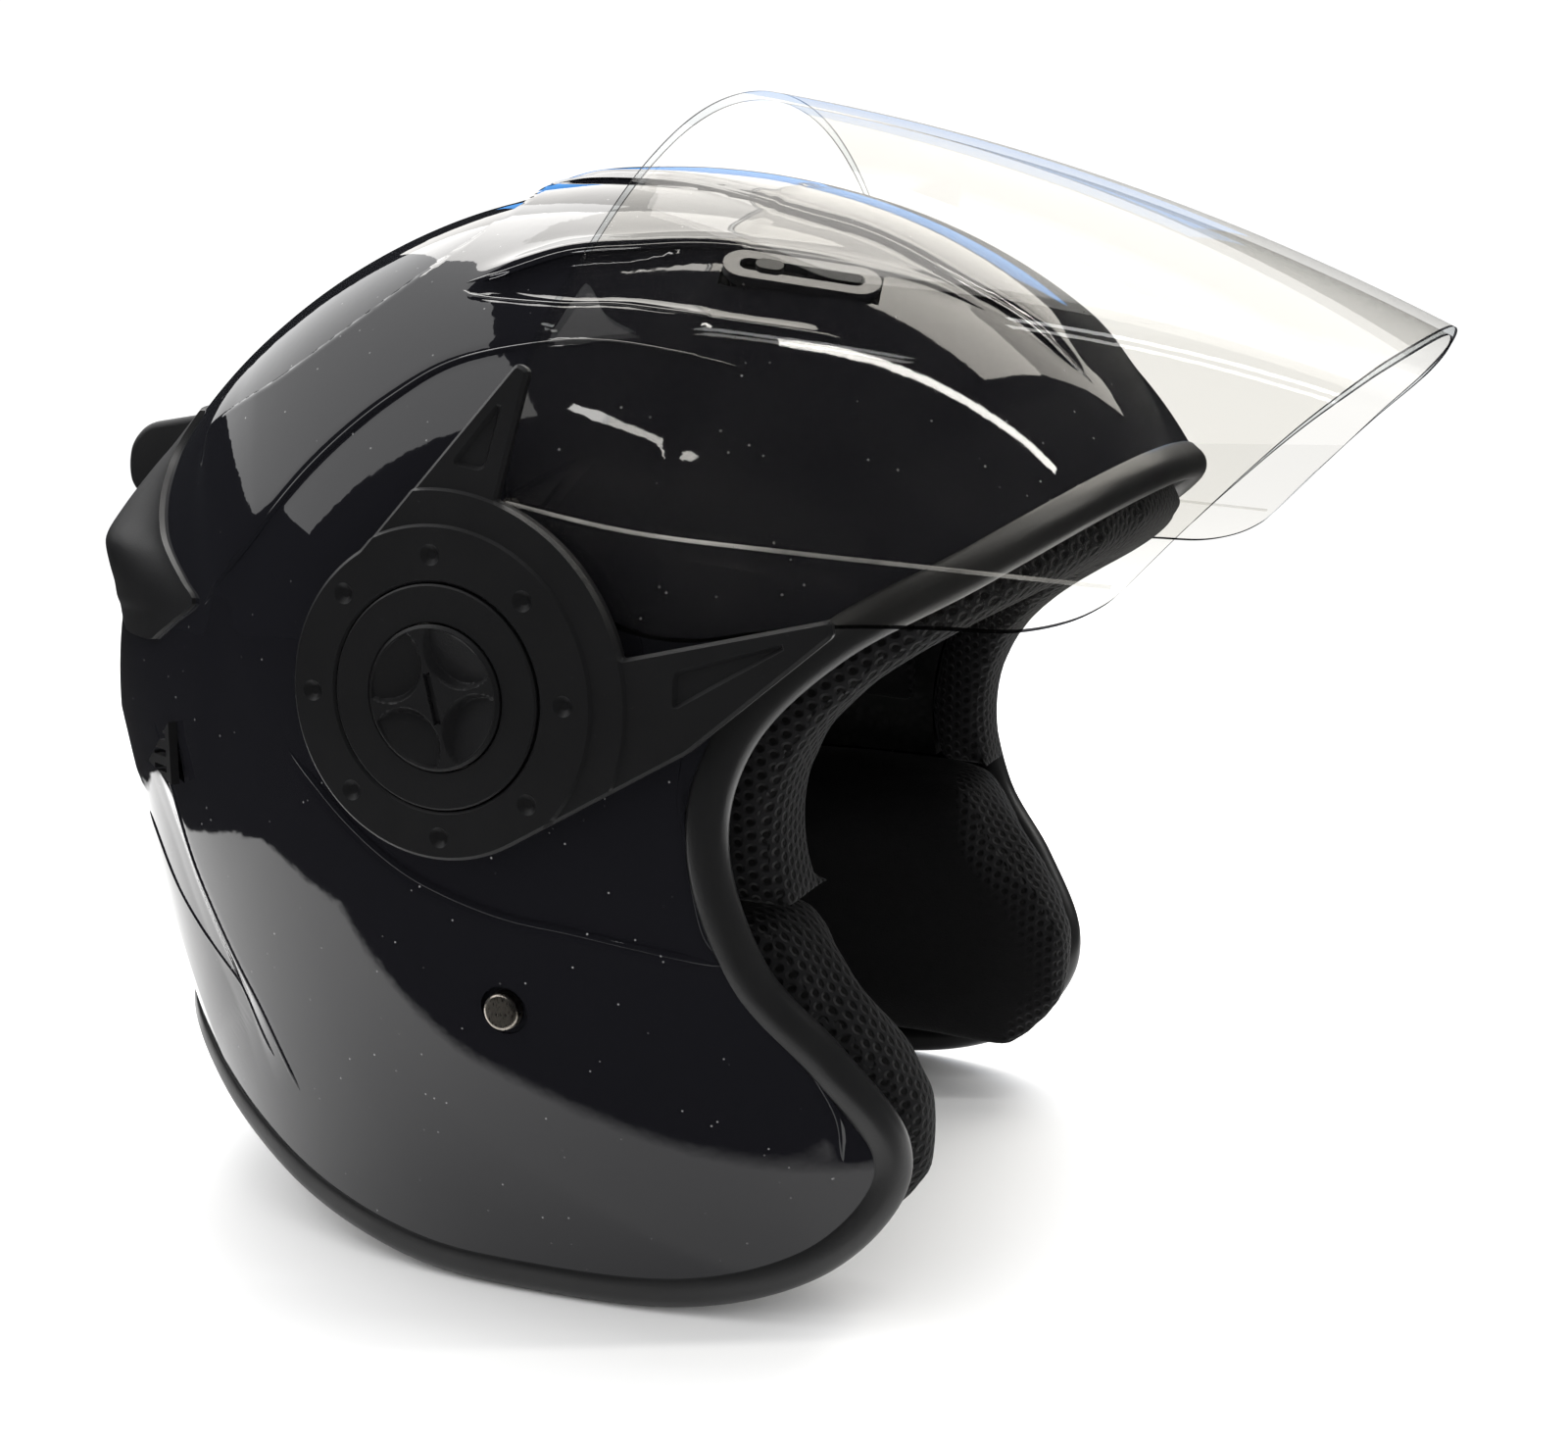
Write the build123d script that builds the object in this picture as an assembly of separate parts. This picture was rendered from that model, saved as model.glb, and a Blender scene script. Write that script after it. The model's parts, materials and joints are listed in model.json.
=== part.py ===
from build123d import *

import os
from math import cos, hypot, radians, sin, sqrt

# Open-face motorcycle helmet with a raised clear visor.
#
# Frame: +X is the wearer's left, -Y is forwards, +Z is up. The helmet stands on its
# bottom rim at Z = 0, and the origin is under the middle of its overall length.
# Lengths below are in millimetres and are measured from the visor pivot in Y,
# because the pivot is what the shell and the visor share. save() moves each piece
# back by PIVOT_Y into the part's own frame.

# ---- overall ----
PIVOT_Y = 15.7
PIVOT_Z = 141.0

# ---- outer shell: a dome whose level sections are superellipses ----
HALF_WIDTH = 114.0
FRONT_REACH = 142.0
REAR_REACH = 150.0
TOP_Z = 254.0
REAR_WAIST_Z = 123.0
RIM_HALF_WIDTH_LOSS = 21.0
RIM_FRONT_LOSS = 10.0
RIM_REAR_LOSS = 28.0
FRONT_EXPONENT = 2.35
REAR_EXPONENT = 2.1
REAR_DOME_POWER = 0.55
SECTION_POINTS = 20
SHELL_WALL = 4.0
DOME_FLOOR_Z = -12.0

# ---- edge of the face opening and of the bottom rim, seen from the side (y, z) ----
EDGE_LINE = [
    (-152, 201), (-131, 187), (-103, 168), (-78, 153), (-60, 134), (-54, 111),
    (-61, 84), (-76, 64), (-87, 45), (-84, 29.5), (-68, 14), (-40, 4.9),
    (0, 3.6), (28, 5.2), (58, 13.5), (86, 27.5), (112, 42), (150, 50),
]
BEAD_HALF_WIDTH = 4.0
BEAD_OUTER_LIP = 1.5
BEAD_INNER_LIP = 1.5
BEAD_FIT = 0.05

# ---- liner and comfort pads: depths below the shell's outer face ----
LINER_OUTER = 4.3
LINER_INNER = 26.0
LINER_SETBACK = 9.0
PAD_GAP = 0.5
CROWN_PAD_INNER = 32.0
BROW_PAD_OUTER = 7.0
BROW_PAD_DROP = 9.0
CHEEK_PAD_OUTER = 9.0
CHEEK_PAD_INNER_X = 60.0
CHEEK_PAD_TOP_Z = 94.0
CHEEK_PAD_FLOOR_Z = 14.0
CHEEK_PAD_REAR_Y = 44.0
CHEEK_PAD_BULGE = 6.0
CROWN_PAD_FLOOR_Z = 106.0
NECK_ROLL_OUTER = 6.2
NECK_ROLL_INNER = 25.0

# ---- visor: a bent sheet in its own axes, u along the crown line, v square to it ----
VISOR_TILT = 18.6
VISOR_WALL = 2.0
VISOR_HALF_WIDTH = 118.0
VISOR_MOUTH_LOSS = 9.0
VISOR_TAPER_START = 40.0
VISOR_MOUTH_U = 154.0
VISOR_CROWN = 138.6
VISOR_CROWN_U = 58.0
VISOR_CROWN_BOW = 0.00085
VISOR_TOP_RADIUS = 140.0
VISOR_MOUTH_TOP_RADIUS = 320.0
VISOR_SHOULDER_RADIUS = 38.0
VISOR_STATIONS = [-46, 0, 40, 64, 88, 112, 136, 172]

# ---- pivot stack, each side: distances from the middle plane ----
POCKET_R = 22.4
BASE_R = 22.2
BASE_BACK_X = 112.0
BASE_FACE_X = 114.8
HUB_R = 9.9
HUB_END_X = 118.6
VISOR_HOLE_R = 10.0
WASHER_R = 17.0
SCREW_R = 2.0
SCREW_HEAD_R = 4.0
PLATE_WALL = 3.0
PLATE_DISC_R = 33.8
PLATE_SECTOR_R = 42.5
PLATE_BORE_R = 23.6
RING_R = 23.5
RING_BORE_R = 15.3
KNOB_R = 15.1
KNOB_BACK_X = 118.7
KNOB_FACE_X = 122.4
DIMPLE_COUNT = 8
DIMPLE_CIRCLE_R = 29.0
DIMPLE_R = 2.2

# ---- chin strap ----
RIVET_Y = -7.0
RIVET_Z = 72.0
RIVET_HEAD_R = 4.1
STRAP_WIDTH = 22.0
STRAP_WALL = 2.0
BUCKLE_Z = 8.0
LEVER_X = -5.0
LEVER_Z = BUCKLE_Z + 3.4
AXLE_R = 1.25
# Middle line of the left half, (x, z), from above the rivet down to the buckle.
STRAP_ROUTE = [(100.4, 84), (100.4, 62), (92.0, 28), (82.5, 9), (62.0, 7), (24.0, 7)]
STRAP_BENDS = [60.0, 50.0, 18.0, 60.0]

# ---- front air vent, right side; the left one is its mirror image ----
VENT_CENTRE = (-62.5, -57.5, 226.3)
VENT_NORMAL = (-0.532, -0.283, 0.797)
VENT_ALONG = (0.281, -0.947, -0.158)
VENT_LENGTH = 34.0
VENT_WIDTH = 10.0
VENT_TRAVEL = 14.0

# ---- tail exhaust insert, right side ----
EXHAUST_CENTRE = (-96.5, 90.5, 119.0)
EXHAUST_NORMAL = (-0.881, 0.472, 0.0)

CROWN_DIRECTION = Vector(0, -cos(radians(VISOR_TILT)), -sin(radians(VISOR_TILT)))
PIVOT = Vector(0, 0, PIVOT_Z)
SIDE_VIEW = Plane.YZ
VISOR_SIDE_VIEW = Plane(origin=PIVOT, x_dir=CROWN_DIRECTION, z_dir=(-1, 0, 0))


# ---------------------------------------------------------------- shared shapes
def reaches(z, grow=0.0):
    """Half width, front reach and rear reach of the dome at height z."""
    if z >= PIVOT_Z:
        rise = (z - PIVOT_Z) / (TOP_Z + grow - PIVOT_Z)
        level = sqrt(max(0.0, 1 - rise**2))
        half, front = (HALF_WIDTH + grow) * level, (FRONT_REACH + grow) * level
    else:
        drop = (PIVOT_Z - z) / PIVOT_Z
        half = HALF_WIDTH + grow - RIM_HALF_WIDTH_LOSS * drop**2
        front = FRONT_REACH + grow - RIM_FRONT_LOSS * drop**2
    if z >= REAR_WAIST_Z:
        rise = (z - REAR_WAIST_Z) / (TOP_Z + grow - REAR_WAIST_Z)
        rear = (REAR_REACH + grow) * max(0.0, 1 - rise**2) ** REAR_DOME_POWER
    else:
        rear = REAR_REACH + grow - RIM_REAR_LOSS * (REAR_WAIST_Z - z) / REAR_WAIST_Z
    return half, front, rear


def level_outline(z, half, front, rear):
    """Smooth closed outline at height z: one superellipse ahead, another behind."""
    points = []
    for i in range(SECTION_POINTS):
        turn = radians(360.0 * i / SECTION_POINTS)
        c, s = cos(turn), sin(turn)
        exponent = 2 / (REAR_EXPONENT if s > 0 else FRONT_EXPONENT)
        reach = rear if s > 0 else front
        x = half * abs(c) ** exponent * (1 if c > 0 else -1)
        y = reach * abs(s) ** exponent * (1 if s > 0 else -1)
        points.append((x, y, z))
    return make_face(Spline(*points, periodic=True))


def dome(grow):
    """Solid bounded by the shell's outer face moved outwards by grow."""
    rise = TOP_Z + grow - PIVOT_Z
    levels = [DOME_FLOOR_Z, 35, 85, 120]
    levels += [PIVOT_Z + rise * part for part in (0.0, 0.25, 0.48, 0.67, 0.81, 0.91, 0.97)]
    outlines = [level_outline(z, *reaches(z, grow)) for z in levels]
    return loft(outlines + [Vertex(0, 0, TOP_Z + grow)])


def side_x(y, z, grow=0.0):
    """Distance of the dome's side wall from the middle plane at (y, z)."""
    half, front, rear = reaches(z, grow)
    exponent, reach = (REAR_EXPONENT, rear) if y > 0 else (FRONT_EXPONENT, front)
    return half * (1 - abs(y / reach) ** exponent) ** (1 / exponent)


def side_prism(outline, reach=160.0):
    """Bar along X whose side view is the closed outline of (y, z) points."""
    return extrude(SIDE_VIEW * make_face(Polyline(*outline, close=True)), reach, both=True)


def below_edge(inset):
    """Everything in front of and below the shell's edge, moved inset into the shell."""
    moved = []
    for i, (y, z) in enumerate(EDGE_LINE):
        before = EDGE_LINE[max(i - 1, 0)]
        after = EDGE_LINE[min(i + 1, len(EDGE_LINE) - 1)]
        run_y, run_z = after[0] - before[0], after[1] - before[1]
        length = hypot(run_y, run_z)
        moved.append((y - inset * run_z / length, z + inset * run_y / length))
    first, last = moved[0], moved[-1]
    surround = Polyline(last, (260, last[1]), (260, -60), (-260, -60), (-260, first[1]), first)
    return extrude(SIDE_VIEW * make_face(Wire([Spline(*moved), *surround.edges()])), 160, both=True)


def disc(radius, x_from, x_to, y=0.0, z=PIVOT_Z):
    """Cylinder along X on the left side."""
    length = x_to - x_from
    place = Pos(x_from, y, z) * Rot(0, 90, 0)
    return place * Cylinder(radius, length, align=(Align.CENTER, Align.CENTER, Align.MIN))


def ring(outer, bore, x_from, x_to, y=0.0, z=PIVOT_Z):
    """Flat ring about an axis along X on the left side."""
    return disc(outer, x_from, x_to, y, z) - disc(bore, x_from - 1, x_to + 1, y, z)


def other_side(shape):
    """The same piece on the other side of the helmet."""
    return mirror(shape, about=Plane.YZ)


def together(shapes):
    """One node made of separate solids."""
    return Compound([solid for shape in shapes for solid in shape.solids()])


def visor_body(grow):
    """Solid under the visor's outer face, moved outwards by grow."""
    outlines = []
    for u in VISOR_STATIONS:
        along = max(0.0, u - VISOR_TAPER_START) / (VISOR_MOUTH_U - VISOR_TAPER_START)
        half = VISOR_HALF_WIDTH - VISOR_MOUTH_LOSS * along**1.3 + grow
        crown = VISOR_CROWN - VISOR_CROWN_BOW * (u - VISOR_CROWN_U) ** 2 + grow
        bend = max(0.0, u) / VISOR_MOUTH_U
        top = grow + 1 / ((1 - bend) / VISOR_TOP_RADIUS + bend / VISOR_MOUTH_TOP_RADIUS)
        shoulder = VISOR_SHOULDER_RADIUS + grow
        side = half - shoulder
        drop = sqrt((top - shoulder) ** 2 - side**2)
        leg_end = crown - top + drop
        touch_x = top * side / (top - shoulder)
        touch_v = crown - top + top * drop / (top - shoulder)
        foot = -60.0 + 4 * grow
        plane = Plane(origin=PIVOT + CROWN_DIRECTION * u, x_dir=(1, 0, 0), z_dir=CROWN_DIRECTION)
        right_shoulder = TangentArc((half, leg_end), (touch_x, touch_v), tangent=(0, 1))
        crown_arc = ThreePointArc((touch_x, touch_v), (0, crown), (-touch_x, touch_v))
        left_shoulder = TangentArc((-half, leg_end), (-touch_x, touch_v), tangent=(0, 1))
        legs = Polyline((-half, leg_end), (-half, foot), (half, foot), (half, leg_end))
        edges = [right_shoulder, crown_arc, left_shoulder, *legs.edges()]
        outlines.append(plane * make_face(Wire(edges)))
    return loft(outlines, ruled=True)


def visor_prism(sketch):
    """Bar along X whose side view, in visor axes, is the sketch."""
    return extrude(VISOR_SIDE_VIEW * sketch, 160, both=True)


# Side plate outline in visor axes: a disc, two arms and the web between them.
UPPER_ARM = [(-25.2, 22.7), (-2.6, 69.6), (0.4, 69.0), (1.0, 40.0), (0.0, 0.0)]
LOWER_ARM = [(0.0, 0.0), (36.8, 23.0), (73.8, 45.3), (75.4, 42.6), (54.7, 9.9), (25.0, -22.7)]
WEB = [(0.0, 0.0), (-25.2, 22.7), (-2.6, 69.6), (60.0, 60.0), (75.4, 42.6), (54.7, 9.9), (25.0, -22.7)]
UPPER_RECESS = [(-3.2, 63.0), (-10.8, 46.0), (-3.6, 47.6)]
LOWER_RECESS = [(71.5, 40.6), (47.5, 24.0), (49.5, 17.0)]
# Visor outline in visor axes, from the crown's rear edge round to its mouth.
VISOR_REAR_EDGE = [(-13, 150), (-12, 132), (-8, 113), (-4, 91), (-2.5, 68)]
VISOR_MOUTH_EDGE = [(122, 69), (129, 84), (139, 104), (147, 118), (154, 131), (160, 150)]
VISOR_CORNER = (104, 53.5)


def plate_outline():
    web = make_face(Polyline(*WEB, close=True)) & Circle(PLATE_SECTOR_R)
    arms = make_face(Polyline(*UPPER_ARM, close=True)) + make_face(Polyline(*LOWER_ARM, close=True))
    return Circle(PLATE_DISC_R) + web + arms


def visor_outline():
    rear = Spline(*VISOR_REAR_EDGE)
    mouth = Spline(*VISOR_MOUTH_EDGE)
    corner = TangentArc(VISOR_CORNER, VISOR_MOUTH_EDGE[0], tangent=(0.92, 0.33))
    lower = Polyline(VISOR_REAR_EDGE[-1], (-24.4, 22.5), (0, 0), (24.5, -21.8), (54.0, 10.4), (74.6, 42.9),
                     VISOR_CORNER)
    top = Line(VISOR_MOUTH_EDGE[-1], VISOR_REAR_EDGE[0])
    sheet = make_face(Wire([rear, *lower.edges(), corner, mouth, top]))
    return sheet + Circle(PLATE_DISC_R - 0.8)


# ---------------------------------------------------------------- shell and trim
def vent_plane():
    return Plane(origin=VENT_CENTRE, x_dir=VENT_ALONG, z_dir=VENT_NORMAL)


def vent_block(length, width, low, high, shift=0.0):
    """Round-ended bar across the shell wall at the right-hand front vent."""
    sketch = Pos(shift, 0, low) * SlotOverall(length, width)
    return vent_plane() * extrude(sketch, high - low)


def exhaust_plane():
    return Plane(origin=EXHAUST_CENTRE, x_dir=(0.472, 0.881, 0), z_dir=EXHAUST_NORMAL)


def exhaust_block(inset, low, high):
    """Triangular bar across the shell wall at the right-hand tail exhaust."""
    points = [(-5.5, -8), (7, 3), (-5.5, 7)]
    sketch = offset(make_face(Polyline(*points, close=True)), -inset, kind=Kind.INTERSECTION)
    return exhaust_plane() * extrude(Pos(0, 0, low) * sketch, high - low)


def both_sides(shape):
    return shape + other_side(shape)


def outer_shell():
    shell = dome(0) - dome(-SHELL_WALL) - below_edge(0)
    shell -= both_sides(disc(POCKET_R, BASE_BACK_X, 130))
    shell -= both_sides(disc(SCREW_R + 0.1, 90, 130))
    shell -= both_sides(disc(RIVET_HEAD_R + 1.4, 107.4, 120, RIVET_Y, RIVET_Z))
    shell -= both_sides(disc(2.6, 90, 120, RIVET_Y, RIVET_Z))
    shell -= both_sides(vent_block(VENT_LENGTH + 0.2, VENT_WIDTH + 0.2, -1.3, 8))
    shell -= both_sides(vent_block(31.2, 7.8, -9, 2))
    shell -= both_sides(exhaust_block(0, -9, 4))
    return shell


def edge_trim():
    """Rubber channel pushed over the shell's whole edge."""
    lips = dome(BEAD_OUTER_LIP) - dome(-SHELL_WALL - BEAD_INNER_LIP)
    band = (lips & below_edge(BEAD_HALF_WIDTH)) - below_edge(-BEAD_HALF_WIDTH)
    groove = dome(BEAD_FIT) - dome(-SHELL_WALL - BEAD_FIT) - below_edge(-BEAD_FIT)
    above_floor = Pos(0, 0, 150) * Box(400, 400, 300)
    return (band - groove) & above_floor


def neck_wedge(lift):
    """Space of the neck roll behind the cheek pads, seen from the side."""
    start = CHEEK_PAD_REAR_Y + 1 - lift
    return side_prism([(start, -60), (start, 26 + lift), (170, 71 + lift), (170, -60)])


def eps_liner():
    liner = dome(-LINER_OUTER) - dome(-LINER_INNER) - below_edge(LINER_SETBACK)
    cheek_room = [(-200, -60), (-200, CHEEK_PAD_TOP_Z + 2), (CHEEK_PAD_REAR_Y + 2, CHEEK_PAD_TOP_Z + 2),
                  (CHEEK_PAD_REAR_Y + 2, -60)]
    liner -= side_prism(cheek_room)
    liner -= neck_wedge(PAD_GAP)
    liner -= both_sides(disc(8, 95, 120))
    liner -= both_sides(vent_block(33, 9.6, -8, 2))
    liner -= both_sides(vent_block(24, 5, -40, 2))
    return liner


def crown_pad():
    pad = dome(-LINER_INNER - PAD_GAP) - dome(-CROWN_PAD_INNER) - below_edge(LINER_SETBACK + 1)
    return pad - side_prism([(-200, -60), (-200, CROWN_PAD_FLOOR_Z), (200, CROWN_PAD_FLOOR_Z), (200, -60)])


def brow_pad():
    """Padded roll that covers the liner's front edge from temple to temple."""
    pad = dome(-BROW_PAD_OUTER) - dome(-CROWN_PAD_INNER)
    pad = (pad & below_edge(LINER_SETBACK - PAD_GAP)) - below_edge(-BROW_PAD_DROP)
    return pad - side_prism([(-200, -60), (-200, CHEEK_PAD_TOP_Z + 1), (200, CHEEK_PAD_TOP_Z + 1), (200, -60)])


SNAPS = [(-38.0, 48.0), (28.0, 62.0)]


def snap_stud(y, z):
    return disc(5.0, side_x(y, z, -CHEEK_PAD_OUTER) - 2, side_x(y, z, -SHELL_WALL) - 0.6, y, z)


def cheek_pad_left():
    """Thick foam pad between the shell and the wearer's cheek."""
    room = [(-200, CHEEK_PAD_FLOOR_Z), (-200, CHEEK_PAD_TOP_Z), (CHEEK_PAD_REAR_Y, CHEEK_PAD_TOP_Z),
            (CHEEK_PAD_REAR_Y, CHEEK_PAD_FLOOR_Z)]
    pad = (dome(-CHEEK_PAD_OUTER) & side_prism(room)) - below_edge(-CHEEK_PAD_BULGE)
    pad &= Pos(CHEEK_PAD_INNER_X, 0, 60) * Box(60, 400, 200, align=(Align.MIN, Align.CENTER, Align.CENTER))
    pad -= disc(13, 95, 120, RIVET_Y, RIVET_Z)
    pad -= strap_ribbon(STRAP_WALL + 2.4, STRAP_WIDTH + 2)
    for y, z in SNAPS:
        pad -= disc(5.3, side_x(y, z, -CHEEK_PAD_OUTER) - 2.2, 130, y, z)
    return pad


def neck_roll():
    pad = dome(-NECK_ROLL_OUTER) - dome(-NECK_ROLL_INNER)
    return (pad & neck_wedge(0)) - below_edge(-2)


# ---------------------------------------------------------------- tail and vents
SPOILER_LEVELS = [(138.0, -0.5), (152.0, 1.5), (167.5, 8.5), (212.0, 0.3)]
SPOILER_SIDE = [(73, 156), (84, 165), (89, 175), (86, 199), (200, 199), (200, 139), (105, 143), (89, 146)]
SPOILER_DUCT = [(100, 168), (150, 170.5), (156, 177), (155, 187), (149, 193), (100, 199)]


def rear_spoiler():
    """Wing across the back of the shell with a raised duct in its middle."""
    outlines = []
    for z, proud in SPOILER_LEVELS:
        half, front, rear = reaches(z)
        outlines.append(level_outline(z, half + 1.5, front, rear + proud))
    wing = loft(outlines, ruled=True) & side_prism(SPOILER_SIDE)
    duct = side_prism(SPOILER_DUCT, 21)
    return wing + duct - dome(0.1)


def vent_frame_right():
    frame = vent_block(VENT_LENGTH, VENT_WIDTH, -1.3, 0.9) + vent_block(31, 7.6, -4.8, -1.3)
    frame -= vent_block(27, 4.4, -9, 4)
    return frame - vent_block(30, 6.2, -3.6, -1.2)


def vent_slider_right():
    """Shutter inside the frame, at the rear end of its travel, with a thumb nub."""
    shift = -VENT_TRAVEL / 2
    plate = vent_block(15.6, 6.0, -3.5, -1.3, shift)
    return plate + vent_block(6, 3.6, -1.3, 1.6, shift)


def exhaust_grille_right():
    plate = exhaust_block(0.1, -3.6, -1.6)
    for across in (-4.0, -0.2, 3.6):
        plate -= exhaust_plane() * Pos(0, across, -2) * Box(6.5, 1.6, 8)
    return plate


# ---------------------------------------------------------------- visor and pivots
def visor():
    sheet = (visor_body(0) - visor_body(-VISOR_WALL)) & visor_prism(visor_outline())
    sheet -= both_sides(disc(VISOR_HOLE_R, 105, 125))
    for y, z in plate_rivets():
        sheet -= both_sides(disc(1.7, 105, 125, y, z))
    return sheet


def plate_rivets():
    """Side plate rivets, (y, z): two in the web and one behind the disc's middle."""
    places = []
    for u, v in ((-8.0, 43.0), (36.0, 18.0), (-20.0, -18.0)):
        spot = PIVOT + CROWN_DIRECTION * u + VISOR_SIDE_VIEW.y_dir * v
        places.append((spot.Y, spot.Z))
    return places


def side_plate_left():
    layer = visor_body(PLATE_WALL) - visor_body(0)
    plate = layer & visor_prism(plate_outline())
    plate &= Pos(100, 0, PIVOT_Z) * Box(60, 300, 300)
    plate -= disc(PLATE_BORE_R, 110, 130)
    face_x = VISOR_HALF_WIDTH + PLATE_WALL
    for i in range(DIMPLE_COUNT):
        turn = radians(90 + 360 * i / DIMPLE_COUNT)
        y, z = DIMPLE_CIRCLE_R * cos(turn), PIVOT_Z + DIMPLE_CIRCLE_R * sin(turn)
        plate -= Pos(face_x + 0.8, y, z) * Sphere(DIMPLE_R)
    skin = visor_body(PLATE_WALL + 1) - visor_body(PLATE_WALL - 0.9)
    for recess in (UPPER_RECESS, LOWER_RECESS):
        plate -= skin & visor_prism(make_face(Polyline(*recess, close=True)))
    for y, z in plate_rivets():
        plate -= disc(1.7, 115, 119.6, y, z)
    return plate


def side_plate_rivets():
    solids = []
    for y, z in plate_rivets():
        rivet = disc(2.5, 115.0, 115.95, y, z) + disc(1.6, 115.9, 119.5, y, z)
        solids += [rivet, other_side(rivet)]
    return together(solids)


def pivot_base_left():
    base = disc(BASE_R, BASE_BACK_X, BASE_FACE_X) + disc(HUB_R, BASE_FACE_X, HUB_END_X)
    base -= disc(SCREW_R + 0.1, 100, 130)
    return base - disc(SCREW_HEAD_R + 0.2, 116.6, 130)


def pivot_screw_left():
    screw = disc(SCREW_HEAD_R, 116.6, 118.4) + disc(SCREW_R, 104.5, 116.6)
    slot = Pos(118.4, 0, PIVOT_Z) * Box(1.6, 1.0, 6.0)
    return screw - slot


def pivot_nut_left():
    nut = Pos(106.4, 0, PIVOT_Z) * Rot(0, 90, 0) * extrude(RegularPolygon(4.0, 6), 3.2)
    return nut - disc(SCREW_R + 0.05, 100, 120)


def knob_left():
    """Finger knob: four scooped hollows leave a four-pointed grip with a coin slot."""
    knob = disc(KNOB_R, KNOB_BACK_X, KNOB_FACE_X)
    knob = chamfer(knob.edges().group_by(Axis.X)[-1], 0.7)
    for i in range(4):
        turn = radians(45 + 90 * i)
        y, z = 10.6 * cos(turn), PIVOT_Z + 10.6 * sin(turn)
        scoop = disc(6.0, 120.4, 130, y, z) & disc(12.9, 120.4, 130)
        knob -= scoop
    return knob - Pos(KNOB_FACE_X, 0, PIVOT_Z) * Box(3.0, 1.5, 8.0)


# ---------------------------------------------------------------- chin strap
def strap_ribbon(wall, width):
    ribbon = Plane.XZ * trace(FilletPolyline(*STRAP_ROUTE, radius=STRAP_BENDS), wall)
    return Pos(0, RIVET_Y, 0) * extrude(ribbon, width / 2, both=True)


def strap_left():
    """Webbing from the shell rivet, under the cheek pad and across to the buckle."""
    return strap_ribbon(STRAP_WALL, STRAP_WIDTH) - disc(2.6, 90, 120, RIVET_Y, RIVET_Z)


def strap_rivet_left():
    rivet = disc(RIVET_HEAD_R, 107.5, 110.6, RIVET_Y, RIVET_Z)
    rivet = fillet(rivet.edges().group_by(Axis.X)[-1], 1.0)
    shank = disc(2.5, 97.5, 107.5, RIVET_Y, RIVET_Z)
    return rivet + shank + disc(5.0, 96.2, 97.5, RIVET_Y, RIVET_Z)


def strap_anchor_left():
    plate = Pos(98.2, RIVET_Y, RIVET_Z) * Box(1.3, 18, 18)
    return plate - disc(2.6, 90, 120, RIVET_Y, RIVET_Z)


def buckle_axle(radius, length):
    """Cylinder along Y on the lever's axis."""
    return Pos(LEVER_X, RIVET_Y, LEVER_Z) * Rot(90, 0, 0) * Cylinder(radius, length)


def buckle_housing():
    """Ratchet housing on the right strap, open at its left end for the tongue."""
    body = Pos(-3, RIVET_Y, BUCKLE_Z) * Box(42, 26, 12)
    body = fillet(body.edges().filter_by(Axis.Z), 3)
    body -= Pos(3, RIVET_Y, BUCKLE_Z - 1) * Box(34, 22.6, 4.4)
    body -= Pos(4, RIVET_Y, BUCKLE_Z + 5) * Box(28, 14.4, 8)
    return body - buckle_axle(AXLE_R + 0.05, 40)


def buckle_lever():
    """Pawl lever that lifts to release the toothed tongue."""
    lever = Pos(LEVER_X + 10, RIVET_Y, LEVER_Z + 0.5) * Box(23, 13.6, 2.6) + buckle_axle(2.2, 13.6)
    return lever - buckle_axle(AXLE_R + 0.06, 40)


def buckle_tongue():
    """Toothed tongue sewn to the left strap."""
    tongue = Pos(8, RIVET_Y, BUCKLE_Z - 1.4) * Box(32, 20, 1.8)
    for i in range(6):
        tongue += Pos(-4 + 3.2 * i, RIVET_Y, BUCKLE_Z - 0.2) * Box(1.5, 16, 0.8)
    return tongue


def save(name, shape):
    shape = Pos(0, PIVOT_Y, 0) * shape
    shape.label = name
    export_step(shape, f"parts/{name}.step")


def save_pair(name, left):
    save(f"{name}_left", left)
    save(f"{name}_right", other_side(left))


def save_group(name, left):
    save(name, together([left, other_side(left)]))


def main():
    os.makedirs("parts", exist_ok=True)
    save("outer_shell", outer_shell())
    save("edge_trim", edge_trim())
    save("eps_liner", eps_liner())
    save("crown_pad", crown_pad())
    save("brow_pad", brow_pad())
    save_pair("cheek_pad", cheek_pad_left())
    save("neck_roll", neck_roll())
    save("rear_spoiler", rear_spoiler())
    save_pair("exhaust_grille", other_side(exhaust_grille_right()))
    save_pair("vent_frame", other_side(vent_frame_right()))
    save_pair("vent_slider", other_side(vent_slider_right()))
    save("visor", visor())
    save_pair("side_plate", side_plate_left())
    save_pair("pivot_ring", ring(RING_R, RING_BORE_R, 118.02, 121.4))
    save("side_plate_rivets", side_plate_rivets())
    save_pair("pivot_base", pivot_base_left())
    save_group("friction_washers", ring(WASHER_R, HUB_R + 0.1, BASE_FACE_X + 0.05, 115.95))
    save_group("pivot_screws", pivot_screw_left())
    save_group("pivot_nuts", pivot_nut_left())
    save_pair("knob", knob_left())
    snaps = [snap_stud(y, z) for y, z in SNAPS]
    save("cheek_pad_snaps", together(snaps + [other_side(stud) for stud in snaps]))
    save_pair("strap", strap_left())
    save_group("strap_rivets", strap_rivet_left())
    save_group("strap_anchors", strap_anchor_left())
    save("buckle_housing", buckle_housing())
    save("buckle_pin", buckle_axle(AXLE_R, 25.6))
    save("buckle_lever", buckle_lever())
    save("buckle_tongue", buckle_tongue())


main()
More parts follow.
